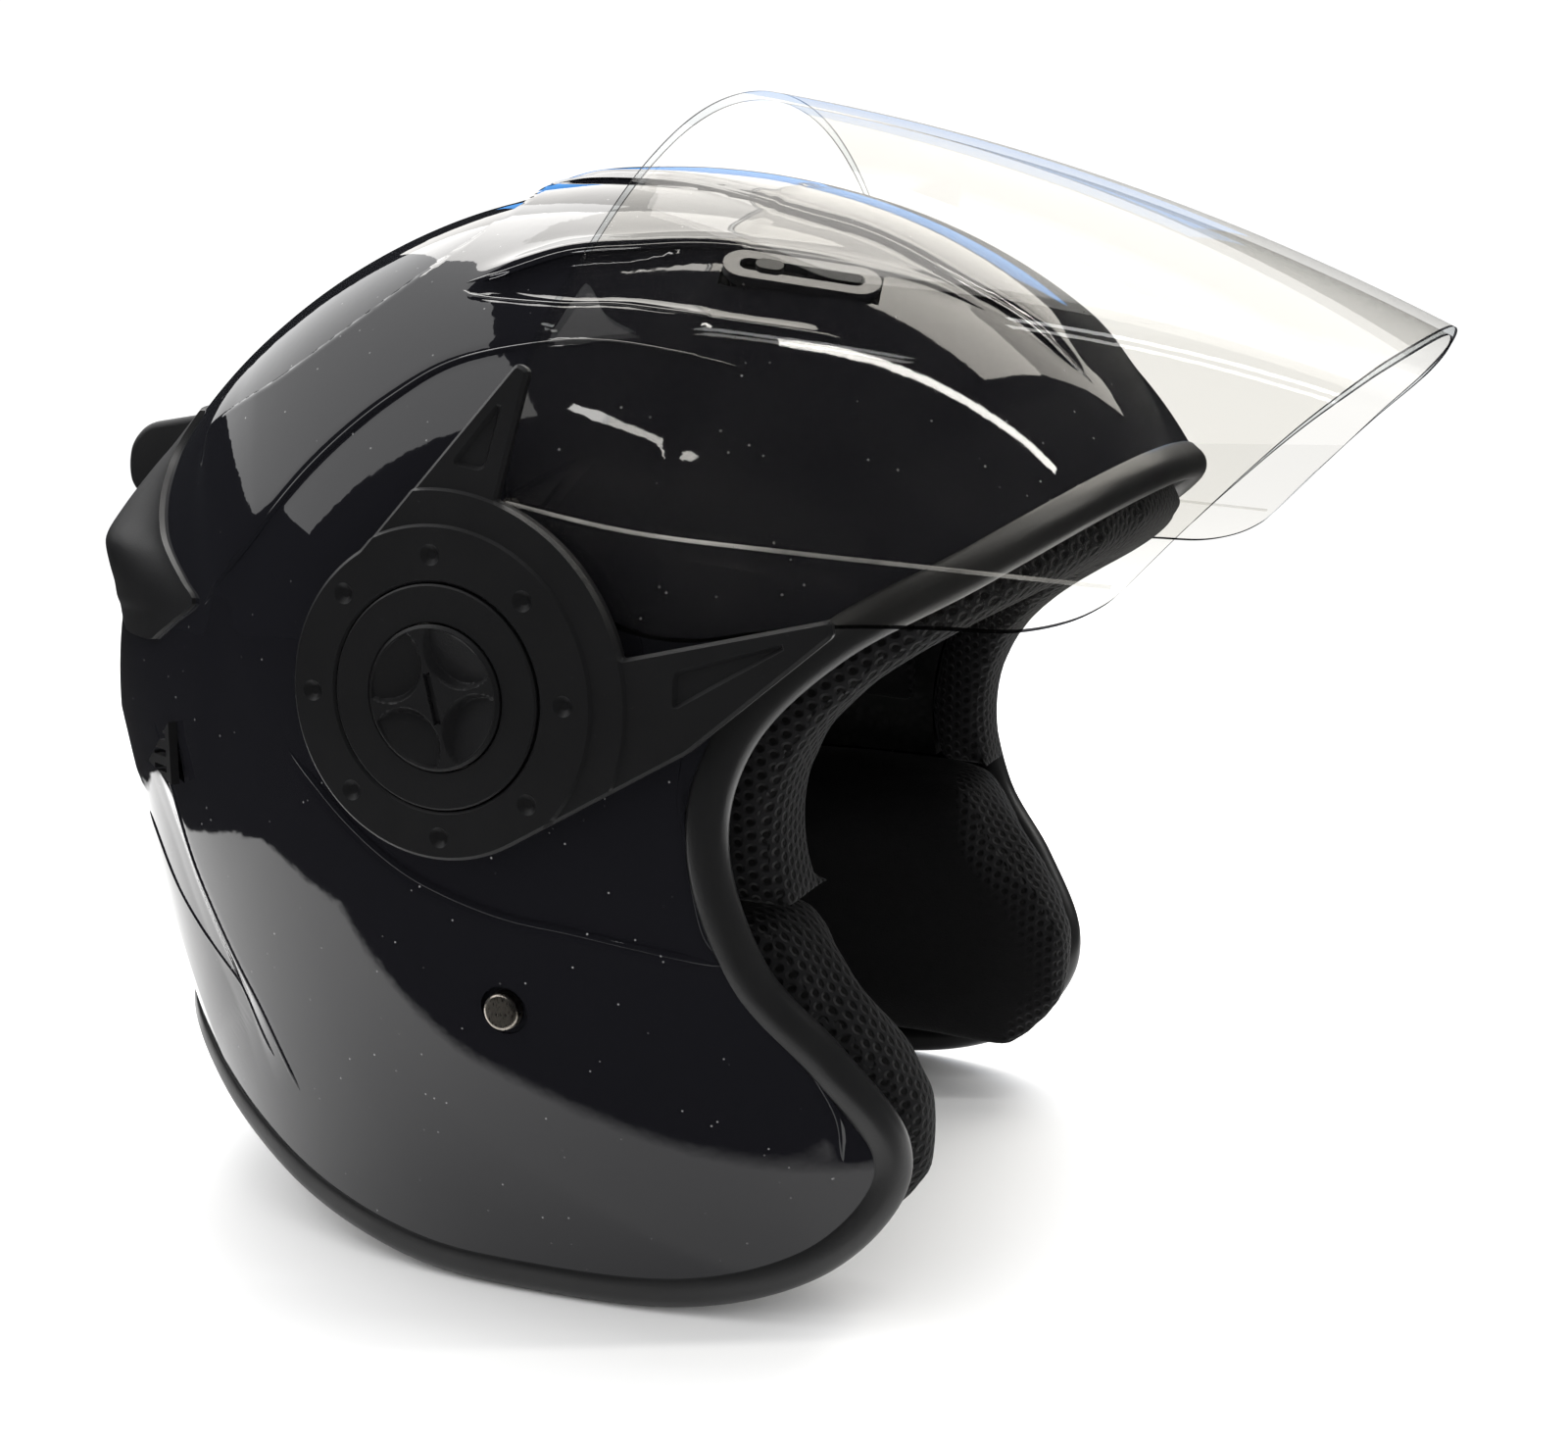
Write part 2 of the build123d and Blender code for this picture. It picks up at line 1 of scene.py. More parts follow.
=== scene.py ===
"""Open-face motorcycle helmet with a raised clear visor: the visual model.

Shapes are worked out in helmet millimetres: x to the wearer's left, y back from the
visor pivot, z up from the floor. in_row_frame() turns them into the CAD row frame.
"""

import json
import math

import bmesh
import bpy
import numpy as np
from mathutils import Matrix, Vector
from mathutils.geometry import delaunay_2d_cdt


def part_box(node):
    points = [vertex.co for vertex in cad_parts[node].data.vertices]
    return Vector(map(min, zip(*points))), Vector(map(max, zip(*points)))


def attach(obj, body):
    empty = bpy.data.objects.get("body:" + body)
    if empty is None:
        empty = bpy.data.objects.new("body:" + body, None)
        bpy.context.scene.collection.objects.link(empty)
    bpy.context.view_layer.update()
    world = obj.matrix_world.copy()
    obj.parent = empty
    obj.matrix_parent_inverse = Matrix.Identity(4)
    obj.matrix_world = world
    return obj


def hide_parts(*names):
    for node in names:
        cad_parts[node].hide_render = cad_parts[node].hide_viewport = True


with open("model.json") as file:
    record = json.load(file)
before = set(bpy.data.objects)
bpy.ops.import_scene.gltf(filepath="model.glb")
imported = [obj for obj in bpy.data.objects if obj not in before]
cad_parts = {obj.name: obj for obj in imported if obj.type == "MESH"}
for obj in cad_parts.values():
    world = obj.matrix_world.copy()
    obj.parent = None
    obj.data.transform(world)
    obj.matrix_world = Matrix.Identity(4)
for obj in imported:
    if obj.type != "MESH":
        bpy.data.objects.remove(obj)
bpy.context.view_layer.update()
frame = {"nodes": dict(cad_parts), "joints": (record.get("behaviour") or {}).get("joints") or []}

MM = 0.001
# Farther than anything here, in mm.
FAR = 1e9
HINGE = next(j for j in frame["joints"] if j["name"] == "visor_hinge")
PIVOT_Y = HINGE["pos_m"][1] / MM
PIVOT_Z = HINGE["pos_m"][2] / MM

# ---- shell: driving dimensions, in mm ----
SHELL_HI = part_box("outer_shell")[1]
HALF_WIDTH = SHELL_HI.x / MM
REAR_REACH = SHELL_HI.y / MM - PIVOT_Y
TOP_Z = SHELL_HI.z / MM
FRONT_REACH = 142.0
REAR_WAIST_Z = 123.0
RIM_HALF_WIDTH_LOSS = 21.0
RIM_FRONT_LOSS = 10.0
RIM_REAR_LOSS = 28.0
FRONT_EXPONENT = 2.35
REAR_EXPONENT = 2.1
REAR_DOME_POWER = 0.55
SHELL_WALL = 4.0
EDGE_LINE = [
    (-152, 201), (-131, 187), (-103, 168), (-78, 153), (-60, 134), (-54, 111),
    (-61, 84), (-76, 64), (-87, 45), (-84, 29.5), (-68, 14), (-40, 4.9),
    (0, 3.6), (28, 5.2), (58, 13.5), (86, 27.5), (112, 42), (150, 50),
]
SHELL_STATIONS = 780
SHELL_RINGS = 250
SHELL_CENTRE = np.array([0.0, 10.0, 120.0])
SHELL_APEX = np.array([0.0, 150.0, 166.0])
# The shell's inner face keeps one ring of points in so many.
SHELL_INNER_EVERY = 14
# Half sizes of the rim bead's section, and how far its middle is inside the dome.
BEAD_HALF = (4.1, 3.7)
BEAD_SINK = 1.9

# ---- visor: driving dimensions, in mm ----
VISOR_TILT = math.radians(18.6)
VISOR_WALL = 2.0
VISOR_HALF_WIDTH = 118.0
VISOR_MOUTH_LOSS = 9.0
VISOR_TAPER_START = 40.0
VISOR_MOUTH_U = 154.0
VISOR_CROWN = 138.6
VISOR_CROWN_U = 58.0
VISOR_CROWN_BOW = 0.00085
VISOR_TOP_RADIUS = 140.0
VISOR_MOUTH_TOP_RADIUS = 320.0
VISOR_SHOULDER_RADIUS = 38.0
VISOR_REAR_EDGE = [(-2.5, 68), (-4, 91), (-8, 113), (-12, 132), (-13, 150)]
VISOR_MOUTH_EDGE = [(122, 69), (129, 84), (139, 104), (147, 118), (154, 131), (160, 150)]
VISOR_LOWER_EDGE = [
    (-2.5, 68), (-1, 52), (5, 38), (17, 31), (31, 27), (46, 29.5), (60, 36.5),
    (74, 43), (91, 49.2), (105, 53.8), (114, 59), (119.5, 64.5), (122, 69),
]
VISOR_CREASE = [(-1, 42), (28, 46), (58, 53), (86, 60), (122, 69)]
VISOR_ROWS = 100
VISOR_COLUMNS = 130
# A narrow band along each edge, which carries a painted dark line (painted shade), and the lengths it is
# measured against.
VISOR_BAND = 0.5
VISOR_ALONG = 125.0
VISOR_UP = 150.0
VISOR_INSET = 0.05
VISOR_MIDDLE = (0, -60, 130)
FOLD_DEPTH = 0.9
FOLD_HALF_RUN = 1.3
# Fine rib along the fold, as (across it, out of the sheet).
FOLD_RIB = [(-0.42, -0.3), (-0.25, 0.1), (0.0, 0.22), (0.25, 0.1), (0.42, -0.3)]
# Places of the rim's, the fold's and the edge bands' materials among the visor's; the edge bands' is a
# painted dark line and the fold's a painted highlight.
RIM, FOLD, EDGE = 1, 2, 3

# ---- camera and lights, angles in degrees ----
CAMERA_AZIMUTH = -69.2
CAMERA_ELEVATION = 10.0
CAMERA_DISTANCE = 497.0
CAMERA_TARGET = (0.0, -29.7, 118.1)
CAMERA_LENS = 44.44
LIGHTS_AIM = (0.0, 0.0, 150.0)
WARM = (1.0, 0.98, 0.95)


# ------------ mesh helpers
def in_row_frame(points):
    """Helmet millimetres to metres in the CAD row frame."""
    return (np.asarray(points, float) + (0.0, PIVOT_Y, 0.0)) * MM


def new_object(name, mesh):
    piece = bpy.data.objects.new(name, mesh)
    bpy.context.scene.collection.objects.link(piece)
    return piece


def piece_from(name, points, faces):
    """Piece in the row frame from helmet points and faces, with its normals outwards."""
    mesh = bpy.data.meshes.new(name)
    corners = [tuple(p) for p in in_row_frame(points)]
    mesh.from_pydata(corners, [], [tuple(map(int, f)) for f in faces])
    bm = bmesh.new()
    bm.from_mesh(mesh)
    bmesh.ops.recalc_face_normals(bm, faces=bm.faces)
    bm.to_mesh(mesh)
    bm.free()
    return new_object(name, mesh)


def smooth(piece, angle=None):
    """Smooth shading, with edges sharper than angle (degrees) kept sharp."""
    piece.data.shade_smooth()
    if angle is not None:
        piece.data.set_sharp_from_angle(angle=math.radians(angle))
    return piece


def grid_faces(rows, columns, start=0, closed=False):
    """Quads over a grid of points stored row by row."""
    across = columns if closed else columns - 1
    r, c = np.meshgrid(np.arange(rows - 1), np.arange(across), indexing="ij")
    after = (c + 1) % columns
    quads = [r * columns + c, r * columns + after, (r + 1) * columns + after, (r + 1) * columns + c]
    return np.stack(quads, axis=-1).reshape(-1, 4) + start


def apply_modifiers(piece):
    """Bakes the modifiers of a piece into its mesh."""
    depsgraph = bpy.context.evaluated_depsgraph_get()
    baked = bpy.data.meshes.new_from_object(piece.evaluated_get(depsgraph))
    piece.modifiers.clear()
    old = piece.data
    piece.data = baked
    bpy.data.meshes.remove(old)
    return piece


def cut_away(piece, cutter):
    """Takes the cutter out of the piece and removes it."""
    boolean = piece.modifiers.new("cut", "BOOLEAN")
    boolean.operation = "DIFFERENCE"
    boolean.solver = "EXACT"
    boolean.object = cutter
    apply_modifiers(piece)
    bpy.data.objects.remove(cutter)


def mirrored(piece, name):
    """The same piece on the wearer's other side."""
    mesh = piece.data.copy()
    co = np.empty(len(mesh.vertices) * 3)
    mesh.vertices.foreach_get("co", co)
    co[0::3] *= -1
    mesh.vertices.foreach_set("co", co)
    mesh.flip_normals()
    return new_object(name, mesh)


def join(pieces):
    """Joins the pieces into the first of them, which keeps its materials."""
    bm = bmesh.new()
    for piece in pieces:
        bm.from_mesh(piece.data)
    bm.to_mesh(pieces[0].data)
    bm.free()
    for piece in pieces[1:]:
        bpy.data.objects.remove(piece)
    return pieces[0]


def both_sides(name, parts):
    """One piece of all the (points, faces) parts and their mirror images."""
    points, faces = [], []
    for more, sides in parts:
        for side in (1, -1):
            start = len(points)
            points += [p * (side, 1, 1) for p in more]
            faces += [tuple(i + start for i in f) for f in sides]
    return piece_from(name, points, faces)


def dress(piece, *materials):
    """Gives the piece these materials, the first of them all over."""
    piece.data.materials.clear()
    for made in materials:
        piece.data.materials.append(made)


def on_body(piece, body, stands_for, slot, *materials):
    """Gives the piece its body and any new materials, and hides the CAD node it replaces; slot is not used.
    """
    if materials:
        dress(piece, *materials)
    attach(piece, body)
    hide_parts(stands_for)


def unit(vectors):
    return vectors / np.linalg.norm(vectors, axis=-1, keepdims=True)


def smoothstep(low, high, value):
    t = np.clip((value - low) / (high - low), 0.0, 1.0)
    return t * t * (3 - 2 * t)


def through(points, count):
    """Smooth curve through the points (Catmull-Rom), as count points evenly apart."""
    p = np.asarray(points, float)
    p = np.vstack([2 * p[0] - p[1], p, 2 * p[-1] - p[-2]])
    dense = []
    for i in range(1, len(p) - 2):
        t = np.linspace(0, 1, 40, endpoint=i == len(p) - 3)[:, None]
        a, b, c, d = p[i - 1], p[i], p[i + 1], p[i + 2]
        dense.append(0.5 * (2 * b + (c - a) * t + (2 * a - 5 * b + 4 * c - d) * t**2
                            + (3 * b - a - 3 * c + d) * t**3))
    return evenly(np.vstack(dense), count)


def run_along(line):
    """Length along the polyline at each of its points."""
    return np.concatenate([[0], np.cumsum(np.linalg.norm(np.diff(line, axis=0), axis=1))])


def evenly(line, count):
    """The polyline resampled to count points evenly apart."""
    run = run_along(line)
    at = np.linspace(0, run[-1], count)
    return np.stack([np.interp(at, run, line[:, k]) for k in range(line.shape[1])], axis=1)


# ------------ dome of the shell
# Step of differences, and length and number of halvings of the search along a ray.
NORMAL_STEP = 0.05
RAY_LENGTH = 400.0
RAY_HALVINGS = 44
EDGE_SAMPLES = 6000


def reaches(z):
    """Half width, front reach and rear reach of the dome at heights z."""
    z = np.asarray(z, float)
    rise = np.clip((z - PIVOT_Z) / (TOP_Z - PIVOT_Z), 0, 1)
    level = np.sqrt(1 - rise**2)
    drop = np.clip((PIVOT_Z - z) / PIVOT_Z, 0, None)
    half = HALF_WIDTH * level - RIM_HALF_WIDTH_LOSS * drop**2
    front = FRONT_REACH * level - RIM_FRONT_LOSS * drop**2
    back_rise = np.clip((z - REAR_WAIST_Z) / (TOP_Z - REAR_WAIST_Z), 0, 1)
    fall = np.clip((REAR_WAIST_Z - z) / REAR_WAIST_Z, 0, None)
    rear = REAR_REACH * (1 - back_rise**2) ** REAR_DOME_POWER - RIM_REAR_LOSS * fall
    return [np.maximum(reach, 1e-6) for reach in (half, front, rear)]


def section(y, z):
    """Half width at z, and the reach and exponent of the section's half that y is in."""
    half, front, rear = reaches(z)
    return half, np.where(y > 0, rear, front), np.where(y > 0, REAR_EXPONENT, FRONT_EXPONENT)


def dome_value(points):
    """Under 1 inside the dome, 1 on it, over 1 outside."""
    x, y, z = np.moveaxis(np.asarray(points, float), -1, 0)
    half, reach, exponent = section(y, z)
    value = np.abs(x / half) ** exponent + np.abs(y / reach) ** exponent
    return np.where(z > TOP_Z, FAR, value)


def onto_dome(directions):
    """Where rays from the shell's centre meet the dome."""
    low = np.zeros(directions.shape[:-1])
    high = np.full(directions.shape[:-1], RAY_LENGTH)
    for _ in range(RAY_HALVINGS):
        middle = (low + high) / 2
        inside = dome_value(SHELL_CENTRE + directions * middle[..., None]) < 1
        low = np.where(inside, middle, low)
        high = np.where(inside, high, middle)
    return SHELL_CENTRE + directions * low[..., None]


def dome_normal(points):
    """Outward unit normal of the dome by differences; straight up at its flat top."""
    points = np.asarray(points, float)
    shifts = np.eye(3) * NORMAL_STEP
    slope = [dome_value(points + shift) - dome_value(points - shift) for shift in shifts]
    slope = np.stack(slope, axis=-1)
    slope = np.where(np.abs(slope) > 1e6, 0, slope)
    slope[..., 2] = np.where(points[..., 2] > TOP_Z - 1, 1, slope[..., 2])
    return unit(slope)


def on_side(points):
    """(y, z) pairs put onto the dome's right side as (x, y, z)."""
    y, z = np.asarray(points, float).T
    half, reach, exponent = section(y, z)
    x = -half * np.clip(1 - np.abs(y / reach) ** exponent, 0, 1) ** (1 / exponent)
    return np.stack([x, y, z], axis=1)


def edge_loop(stations):
    """The shell's whole edge as a closed loop: brow, right side, nape, left side."""
    line = through(EDGE_LINE, EDGE_SAMPLES)
    middle = np.stack([0 * line[:, 0], line[:, 0], line[:, 1]], axis=1)
    inside = np.flatnonzero(dome_value(middle) < 1)
    side = on_side(line)[inside[0]:inside[-1] + 1]
    side[[0, -1], 0] = 0
    half = evenly(side, stations // 2 + 1)
    return np.vstack([half, half[-2:0:-1] * (-1, 1, 1)])


# ------------ relief on the shell
# Lines on the right side of the shell, (x, y, z), that break its surface.
FIN_EDGE = [
    (-10, 24, 252), (-24, 22, 250), (-49, 17, 246), (-62, 20, 239), (-74, 27, 230), (-83, 41, 218),
    (-87, 59, 206), (-83, 78, 198), (-80, 91, 191),
]
SWEEP_LINE = [
    (-103.5, 73, 156), (-105, 59, 169), (-104, 50, 178), (-101, 38, 189), (-96, 23, 200),
    (-92, 9, 208), (-89, -11, 212), (-87.5, -24, 212), (-87, -39, 210), (-86, -52, 207.5),
]
SCOOP_LOWER = [
    (-80, 14, 223), (-81, 9, 221), (-82, -10, 220), (-81, -22, 220), (-80, -36, 218),
    (-78, -52, 216), (-73, -70, 213),
]
SCOOP_UPPER = [
    (-78, 14, 224), (-75, 6, 226), (-70, -4, 230), (-68, -11, 231.5), (-66, -21, 232),
    (-63, -34, 233), (-58.5, -52, 231), (-53, -69, 228), (-47, -81, 225), (-42, -92, 219),
]
HUMP_LINE = [
    (-25, 24, 250.5), (-29, 4, 250.5), (-33, -16, 249), (-38, -35, 245), (-40.5, -50, 240.5),
    (-39, -66, 236), (-39, -86, 225), (-35, -98, 217), (-32, -114, 203.5),
]
RECESS_FLOOR = [
    (-108, 44, 125), (-112, 30, 111), (-112, 17, 102), (-112, 5.5, 97), (-111.5, -9, 93),
    (-111, -24, 91), (-109, -37, 89), (-107, -49, 87), (-105, -57, 86),
]
RECESS_FRONT = [
    (-110, -50, 131), (-110, -49, 120.5), (-109, -50, 112), (-108, -51, 102), (-106.5, -53, 92),
    (-105, -57.5, 86), (-100, -68, 71), (-94, -77, 53), (-92, -79, 40),
]
TAIL_RIDGE = [
    (-90, 95, 125), (-91, 92, 115), (-91, 89, 103), (-91.5, 85.5, 92), (-93, 79, 80), (-94, 72, 69),
    (-95, 65, 58), (-94.5, 56, 40),
]
TAIL_CREASE = [
    (-71, 114.5, 98), (-76, 106, 83), (-83, 93, 72), (-90.5, 76.5, 61), (-93, 64, 47),
]
WAIST_STEP = [
    (-100.5, 48, 181), (-102.5, 58, 165), (-103, 66, 150), (-102.5, 70, 137), (-98, 75.5, 106),
]
# Points farther than this from a line's box are left as they are.
LINE_REACH = 60.0
FIN_CREST = [(0, 0.6), (0.25, 2.6), (0.5, 4.4), (0.8, 4.6), (1, 3.0)]
# Steps: line, height left and right of it, width, easing left and right, fade at the ends.
STEPS = [
    (FIN_EDGE, FIN_CREST, -1.2, 4.0, (30, 14), 12),
    (SWEEP_LINE, 0.35, -0.25, 3.4, (18, 18), 18),
    (HUMP_LINE, 1.9, -0.3, 5.0, (FAR, 24), 18),
    (RECESS_FLOOR, -0.9, 0.7, 4.0, (16, 16), 12),
    (RECESS_FRONT, -0.8, 0.4, 4.0, (9, 9), 10),
    (WAIST_STEP, -0.5, 0.5, 9, (14, 14), 20),
]
# (places along the line, depths) of the brow channel, and (distances, depths) behind the tail ridge.
CHANNEL_DEPTH = ([0, 0.3, 0.5, 0.75, 1], [2.2, 2.6, 1.2, 1.0, 0.6])
TAIL_DEPTH = ([-1.5, 1.5, 9, 16, 40], [0, 0.4, 2.6, 2.4, 0])
# Fine moulded lines: which line, half width and height in mm.
RIBS = [
    (FIN_EDGE, 0.9, 0.45), (SWEEP_LINE, 0.55, 0.35), (SCOOP_LOWER, 0.7, 0.35), (SCOOP_UPPER, 0.7, 0.35),
    (HUMP_LINE, 0.8, 0.3), (RECESS_FLOOR, 0.55, 0.4), (RECESS_FRONT, 0.6, 0.35), (TAIL_RIDGE, 0.8, 0.4),
    (TAIL_CREASE, 0.7, 0.35),
]
RIB_POINTS = 160
RIB_PROFILE = [(-1.6, -0.5), (-1, 0.05), (-0.55, 0.75), (0, 1.0), (0.55, 0.75), (1, 0.05), (1.6, -0.5)]

# ---- openings in the shell, right side ----
VENT_CENTRE = (-62.5, -57.5, 226.3)
VENT_NORMAL = (-0.532, -0.283, 0.797)
VENT_ALONG = (0.281, -0.947, -0.158)
EXHAUST_CENTRE = (-96.5, 90.5, 119.0)
EXHAUST_NORMAL = (-0.881, 0.472, 0.0)
EXHAUST_OUTLINE = [(8, -5.5), (-3, 7), (-7, -5.5)]
VENT_SLOT = [(-17.2, -5.2), (17.2, -5.2), (17.2, 5.2), (-17.2, 5.2)]
RIVET_CENTRE = (-107.2, -7.0, 72.0)
RIVET_HOLE_R = 5.5
CUT_DEPTH = 12.0


def on_dome_line(line, count=70):
    """The line as count points, drawn in to the dome."""
    return onto_dome(unit(through(line, count) - SHELL_CENTRE))


def from_line(points, line, fade):
    """(signed distance to the line, weight that fades to 0 at its ends, place along it).

    The distance is positive on the left of the line's travel, seen from outside. The
    place goes from 0 to 1. Points of the left side are measured from the line's mirror image.
    """
    line = on_dome_line(line)
    run = run_along(line)
    every = points.reshape(-1, 3).copy()
    every[:, 0] = -np.abs(every[:, 0])
    above = every > line.min(axis=0) - LINE_REACH
    near = np.all(above & (every < line.max(axis=0) + LINE_REACH), axis=1)
    p = every[near]
    best = np.full(len(p), FAR)
    signed = np.full(len(p), FAR)
    place = np.zeros(len(p))
    normal = dome_normal(line)
    for i in range(len(line) - 1):
        chord = line[i + 1] - line[i]
        length = np.linalg.norm(chord)
        away = p - line[i]
        t = np.clip(away @ chord / length**2, 0, 1)
        gap = away - t[:, None] * chord
        far = np.linalg.norm(gap, axis=1)
        left = np.cross(normal[i], chord / length)
        nearer = far < best
        best = np.where(nearer, far, best)
        signed = np.where(nearer, np.sign(gap @ left) * far, signed)
        place = np.where(nearer, run[i] + t * length, place)
    distance = np.full(len(every), FAR)
    weight = np.zeros(len(every))
    part = np.zeros(len(every))
    distance[near] = signed
    weight[near] = smoothstep(0, fade, place) * smoothstep(0, fade, run[-1] - place)
    part[near] = place / run[-1]
    return [v.reshape(points.shape[:-1]) for v in (distance, weight, part)]


def step(points, line, left, right, width, spread, fade):
    """Height of a step along the line that eases back to nothing on each side over spread."""
    distance, weight, part = from_line(points, line, fade)
    over = smoothstep(-width / 2, width / 2, distance)
    beyond = np.clip(np.abs(distance) - width / 2, 0, None)
    ease_left, ease_right = np.exp(-beyond / spread[0]), np.exp(-beyond / spread[1])
    if not np.isscalar(left):
        left = np.interp(part, *zip(*left))
    return weight * (left * ease_left * over + right * ease_right * (1 - over))


def relief(points):
    """Height of the moulded detail over the plain dome, in mm."""
    height = sum(step(points, *values) for values in STEPS)
    low, low_weight, _ = from_line(points, SCOOP_LOWER, 10)
    up, up_weight, part = from_line(points, SCOOP_UPPER, 12)
    depth = np.interp(part, *CHANNEL_DEPTH)
    height -= depth * low_weight * smoothstep(-1, 4, low) * smoothstep(-1, 3.5, -up)
    height += 0.7 * up_weight * np.exp(-(((up - 1.6) / 2.6) ** 2))
    ridge, ridge_weight, _ = from_line(points, TAIL_RIDGE, 34)
    height -= ridge_weight * np.interp(-ridge, *TAIL_DEPTH)
    return height


def rib(line, half_width, height):
    """(points, faces) of a fine rounded rib that lies on the relief and tapers to its ends."""
    line = on_dome_line(line, RIB_POINTS)
    normal = dome_normal(line)
    across = unit(np.cross(normal, np.gradient(line, axis=0)))
    ends = np.sin(np.linspace(0, math.pi, RIB_POINTS)) * 6
    taper = np.sqrt(np.clip(ends, 0, 1))[:, None]
    lift = relief(line)[:, None]
    rows = [line + across * side * half_width * taper + normal * (lift + up * height * taper)
            for side, up in RIB_PROFILE]
    return np.concatenate(rows), grid_faces(len(RIB_PROFILE), RIB_POINTS)


# ------------ shell and trim
def outer_surface():
    """Grid of points from the shell's edge (row 0) to its apex at the back, and their normals."""
    edge = unit(edge_loop(SHELL_STATIONS) - SHELL_CENTRE)
    apex = unit(SHELL_APEX - SHELL_CENTRE)
    angle = np.arccos(np.clip(edge @ apex, -1, 1))[None, :, None]
    t = np.linspace(0, 1, SHELL_RINGS)[:-1, None, None]
    directions = (np.sin((1 - t) * angle) * edge + np.sin(t * angle) * apex) / np.sin(angle)
    points = onto_dome(unit(directions))
    return points, dome_normal(points), onto_dome(apex[None])[0]


def shell_skin():
    """The shell: relief outside, plain inside, its openings cut and its ribs laid on."""
    points, normals, apex = outer_surface()
    outer = points + normals * relief(points)[..., None]
    inner = (points - normals * SHELL_WALL)[::SHELL_INNER_EVERY]
    rings, stations = outer.shape[:2]
    every = np.vstack([outer.reshape(-1, 3), apex[None], inner.reshape(-1, 3),
                       (apex - (0, SHELL_WALL, 0))[None]])
    outer_apex, inner_apex = rings * stations, len(every) - 1
    outer_last, inner_last = outer_apex - stations, inner_apex - stations
    start = outer_apex + 1
    faces = list(grid_faces(rings, stations, closed=True))
    faces += list(grid_faces(len(inner), stations, start, closed=True))
    for s in range(stations):
        after = (s + 1) % stations
        faces.append((outer_last + s, outer_last + after, outer_apex))
        faces.append((inner_last + s, inner_last + after, inner_apex))
        faces.append((s, after, start + after, start + s))
    piece = smooth(piece_from("shell_skin", every, faces))
    cut_away(piece, both_sides("cutter", openings()))
    ribs = smooth(both_sides("ribs", [rib(*values) for values in RIBS]))
    return smooth(join([piece, ribs]), 38)


def openings():
    """(points, faces) of what is cut out of the shell's right side."""
    return [
        prism(VENT_CENTRE, VENT_NORMAL, VENT_ALONG, VENT_SLOT, -CUT_DEPTH, CUT_DEPTH),
        prism(EXHAUST_CENTRE, EXHAUST_NORMAL, (0, 0, 1), EXHAUST_OUTLINE, -CUT_DEPTH, CUT_DEPTH),
        prism(RIVET_CENTRE, (-1, 0, 0), (0, 0, 1), turned([RIVET_HOLE_R], 40), 0, CUT_DEPTH),
    ]


def prism(centre, normal, along, outline, low, high):
    """(points, faces) of a prism: outline in (along, across), from low to high over the centre."""
    normal = unit(np.array(normal, float))
    along = unit(along - (along @ normal) * normal)
    across = np.cross(normal, along)
    ring = [centre + a * along + b * across for a, b in outline]
    count = len(outline)
    points = [p + low * normal for p in ring] + [p + high * normal for p in ring]
    faces = [tuple(range(count)), tuple(range(count, 2 * count))]
    faces += [(i, (i + 1) % count, (i + 1) % count + count, i + count) for i in range(count)]
    return points, faces


def turned(radii, sides):
    """Points on circles of these radii round the origin, circle by circle."""
    turn = np.linspace(0, 2 * math.pi, sides, endpoint=False)
    circle = np.stack([np.cos(turn), np.sin(turn)], axis=1)
    return np.vstack([radius * circle for radius in radii])


def edge_trim():
    """Round rubber bead pushed over the shell's edge, with a thin outer lip."""
    loop = edge_loop(SHELL_STATIONS)
    normal = dome_normal(loop)
    tangent = unit(np.roll(loop, -1, axis=0) - np.roll(loop, 1, axis=0))
    across = unit(np.cross(tangent, normal))
    across *= np.sign(np.sum(across * (SHELL_APEX - loop), axis=1))[:, None]
    outline = bead_section()
    points = loop + outline[:, 0, None, None] * across + outline[:, 1, None, None] * normal
    points[..., 2] = np.maximum(points[..., 2], 0.0)
    count = len(outline)
    faces = list(grid_faces(count, SHELL_STATIONS, closed=True))
    top = (count - 1) * SHELL_STATIONS
    for s in range(SHELL_STATIONS):
        after = (s + 1) % SHELL_STATIONS
        faces.append((top + s, top + after, after, s))
    return smooth(piece_from("rim_bead", points.reshape(-1, 3), faces))


def bead_section():
    """Closed outline of the bead, (across towards the shell, out of the shell)."""
    turn = np.radians(np.arange(0, 360, 12))
    outline = np.stack([np.cos(turn), np.sin(turn)], axis=1) * BEAD_HALF - (0, BEAD_SINK)
    lip = (outline[:, 0] > 2.6) & (outline[:, 1] > -1.2)
    outline[lip] += (1.1, -0.2)
    return outline


# ------------ visor
def visor_profile(u):
    """Shape of the visor's outer face at u.

    Crown height, top radius, x of the shoulder's centre, height where the straight leg
    ends, and the angle that the shoulder turns through.
    """
    along = np.clip(u - VISOR_TAPER_START, 0, None) / (VISOR_MOUTH_U - VISOR_TAPER_START)
    half = VISOR_HALF_WIDTH - VISOR_MOUTH_LOSS * along**1.3
    crown = VISOR_CROWN - VISOR_CROWN_BOW * (u - VISOR_CROWN_U) ** 2
    bend = np.clip(u, 0, None) / VISOR_MOUTH_U
    top = 1 / ((1 - bend) / VISOR_TOP_RADIUS + bend / VISOR_MOUTH_TOP_RADIUS)
    side = half - VISOR_SHOULDER_RADIUS
    drop = np.sqrt((top - VISOR_SHOULDER_RADIUS) ** 2 - side**2)
    return crown, top, side, crown - top + drop, np.arctan2(drop, side)


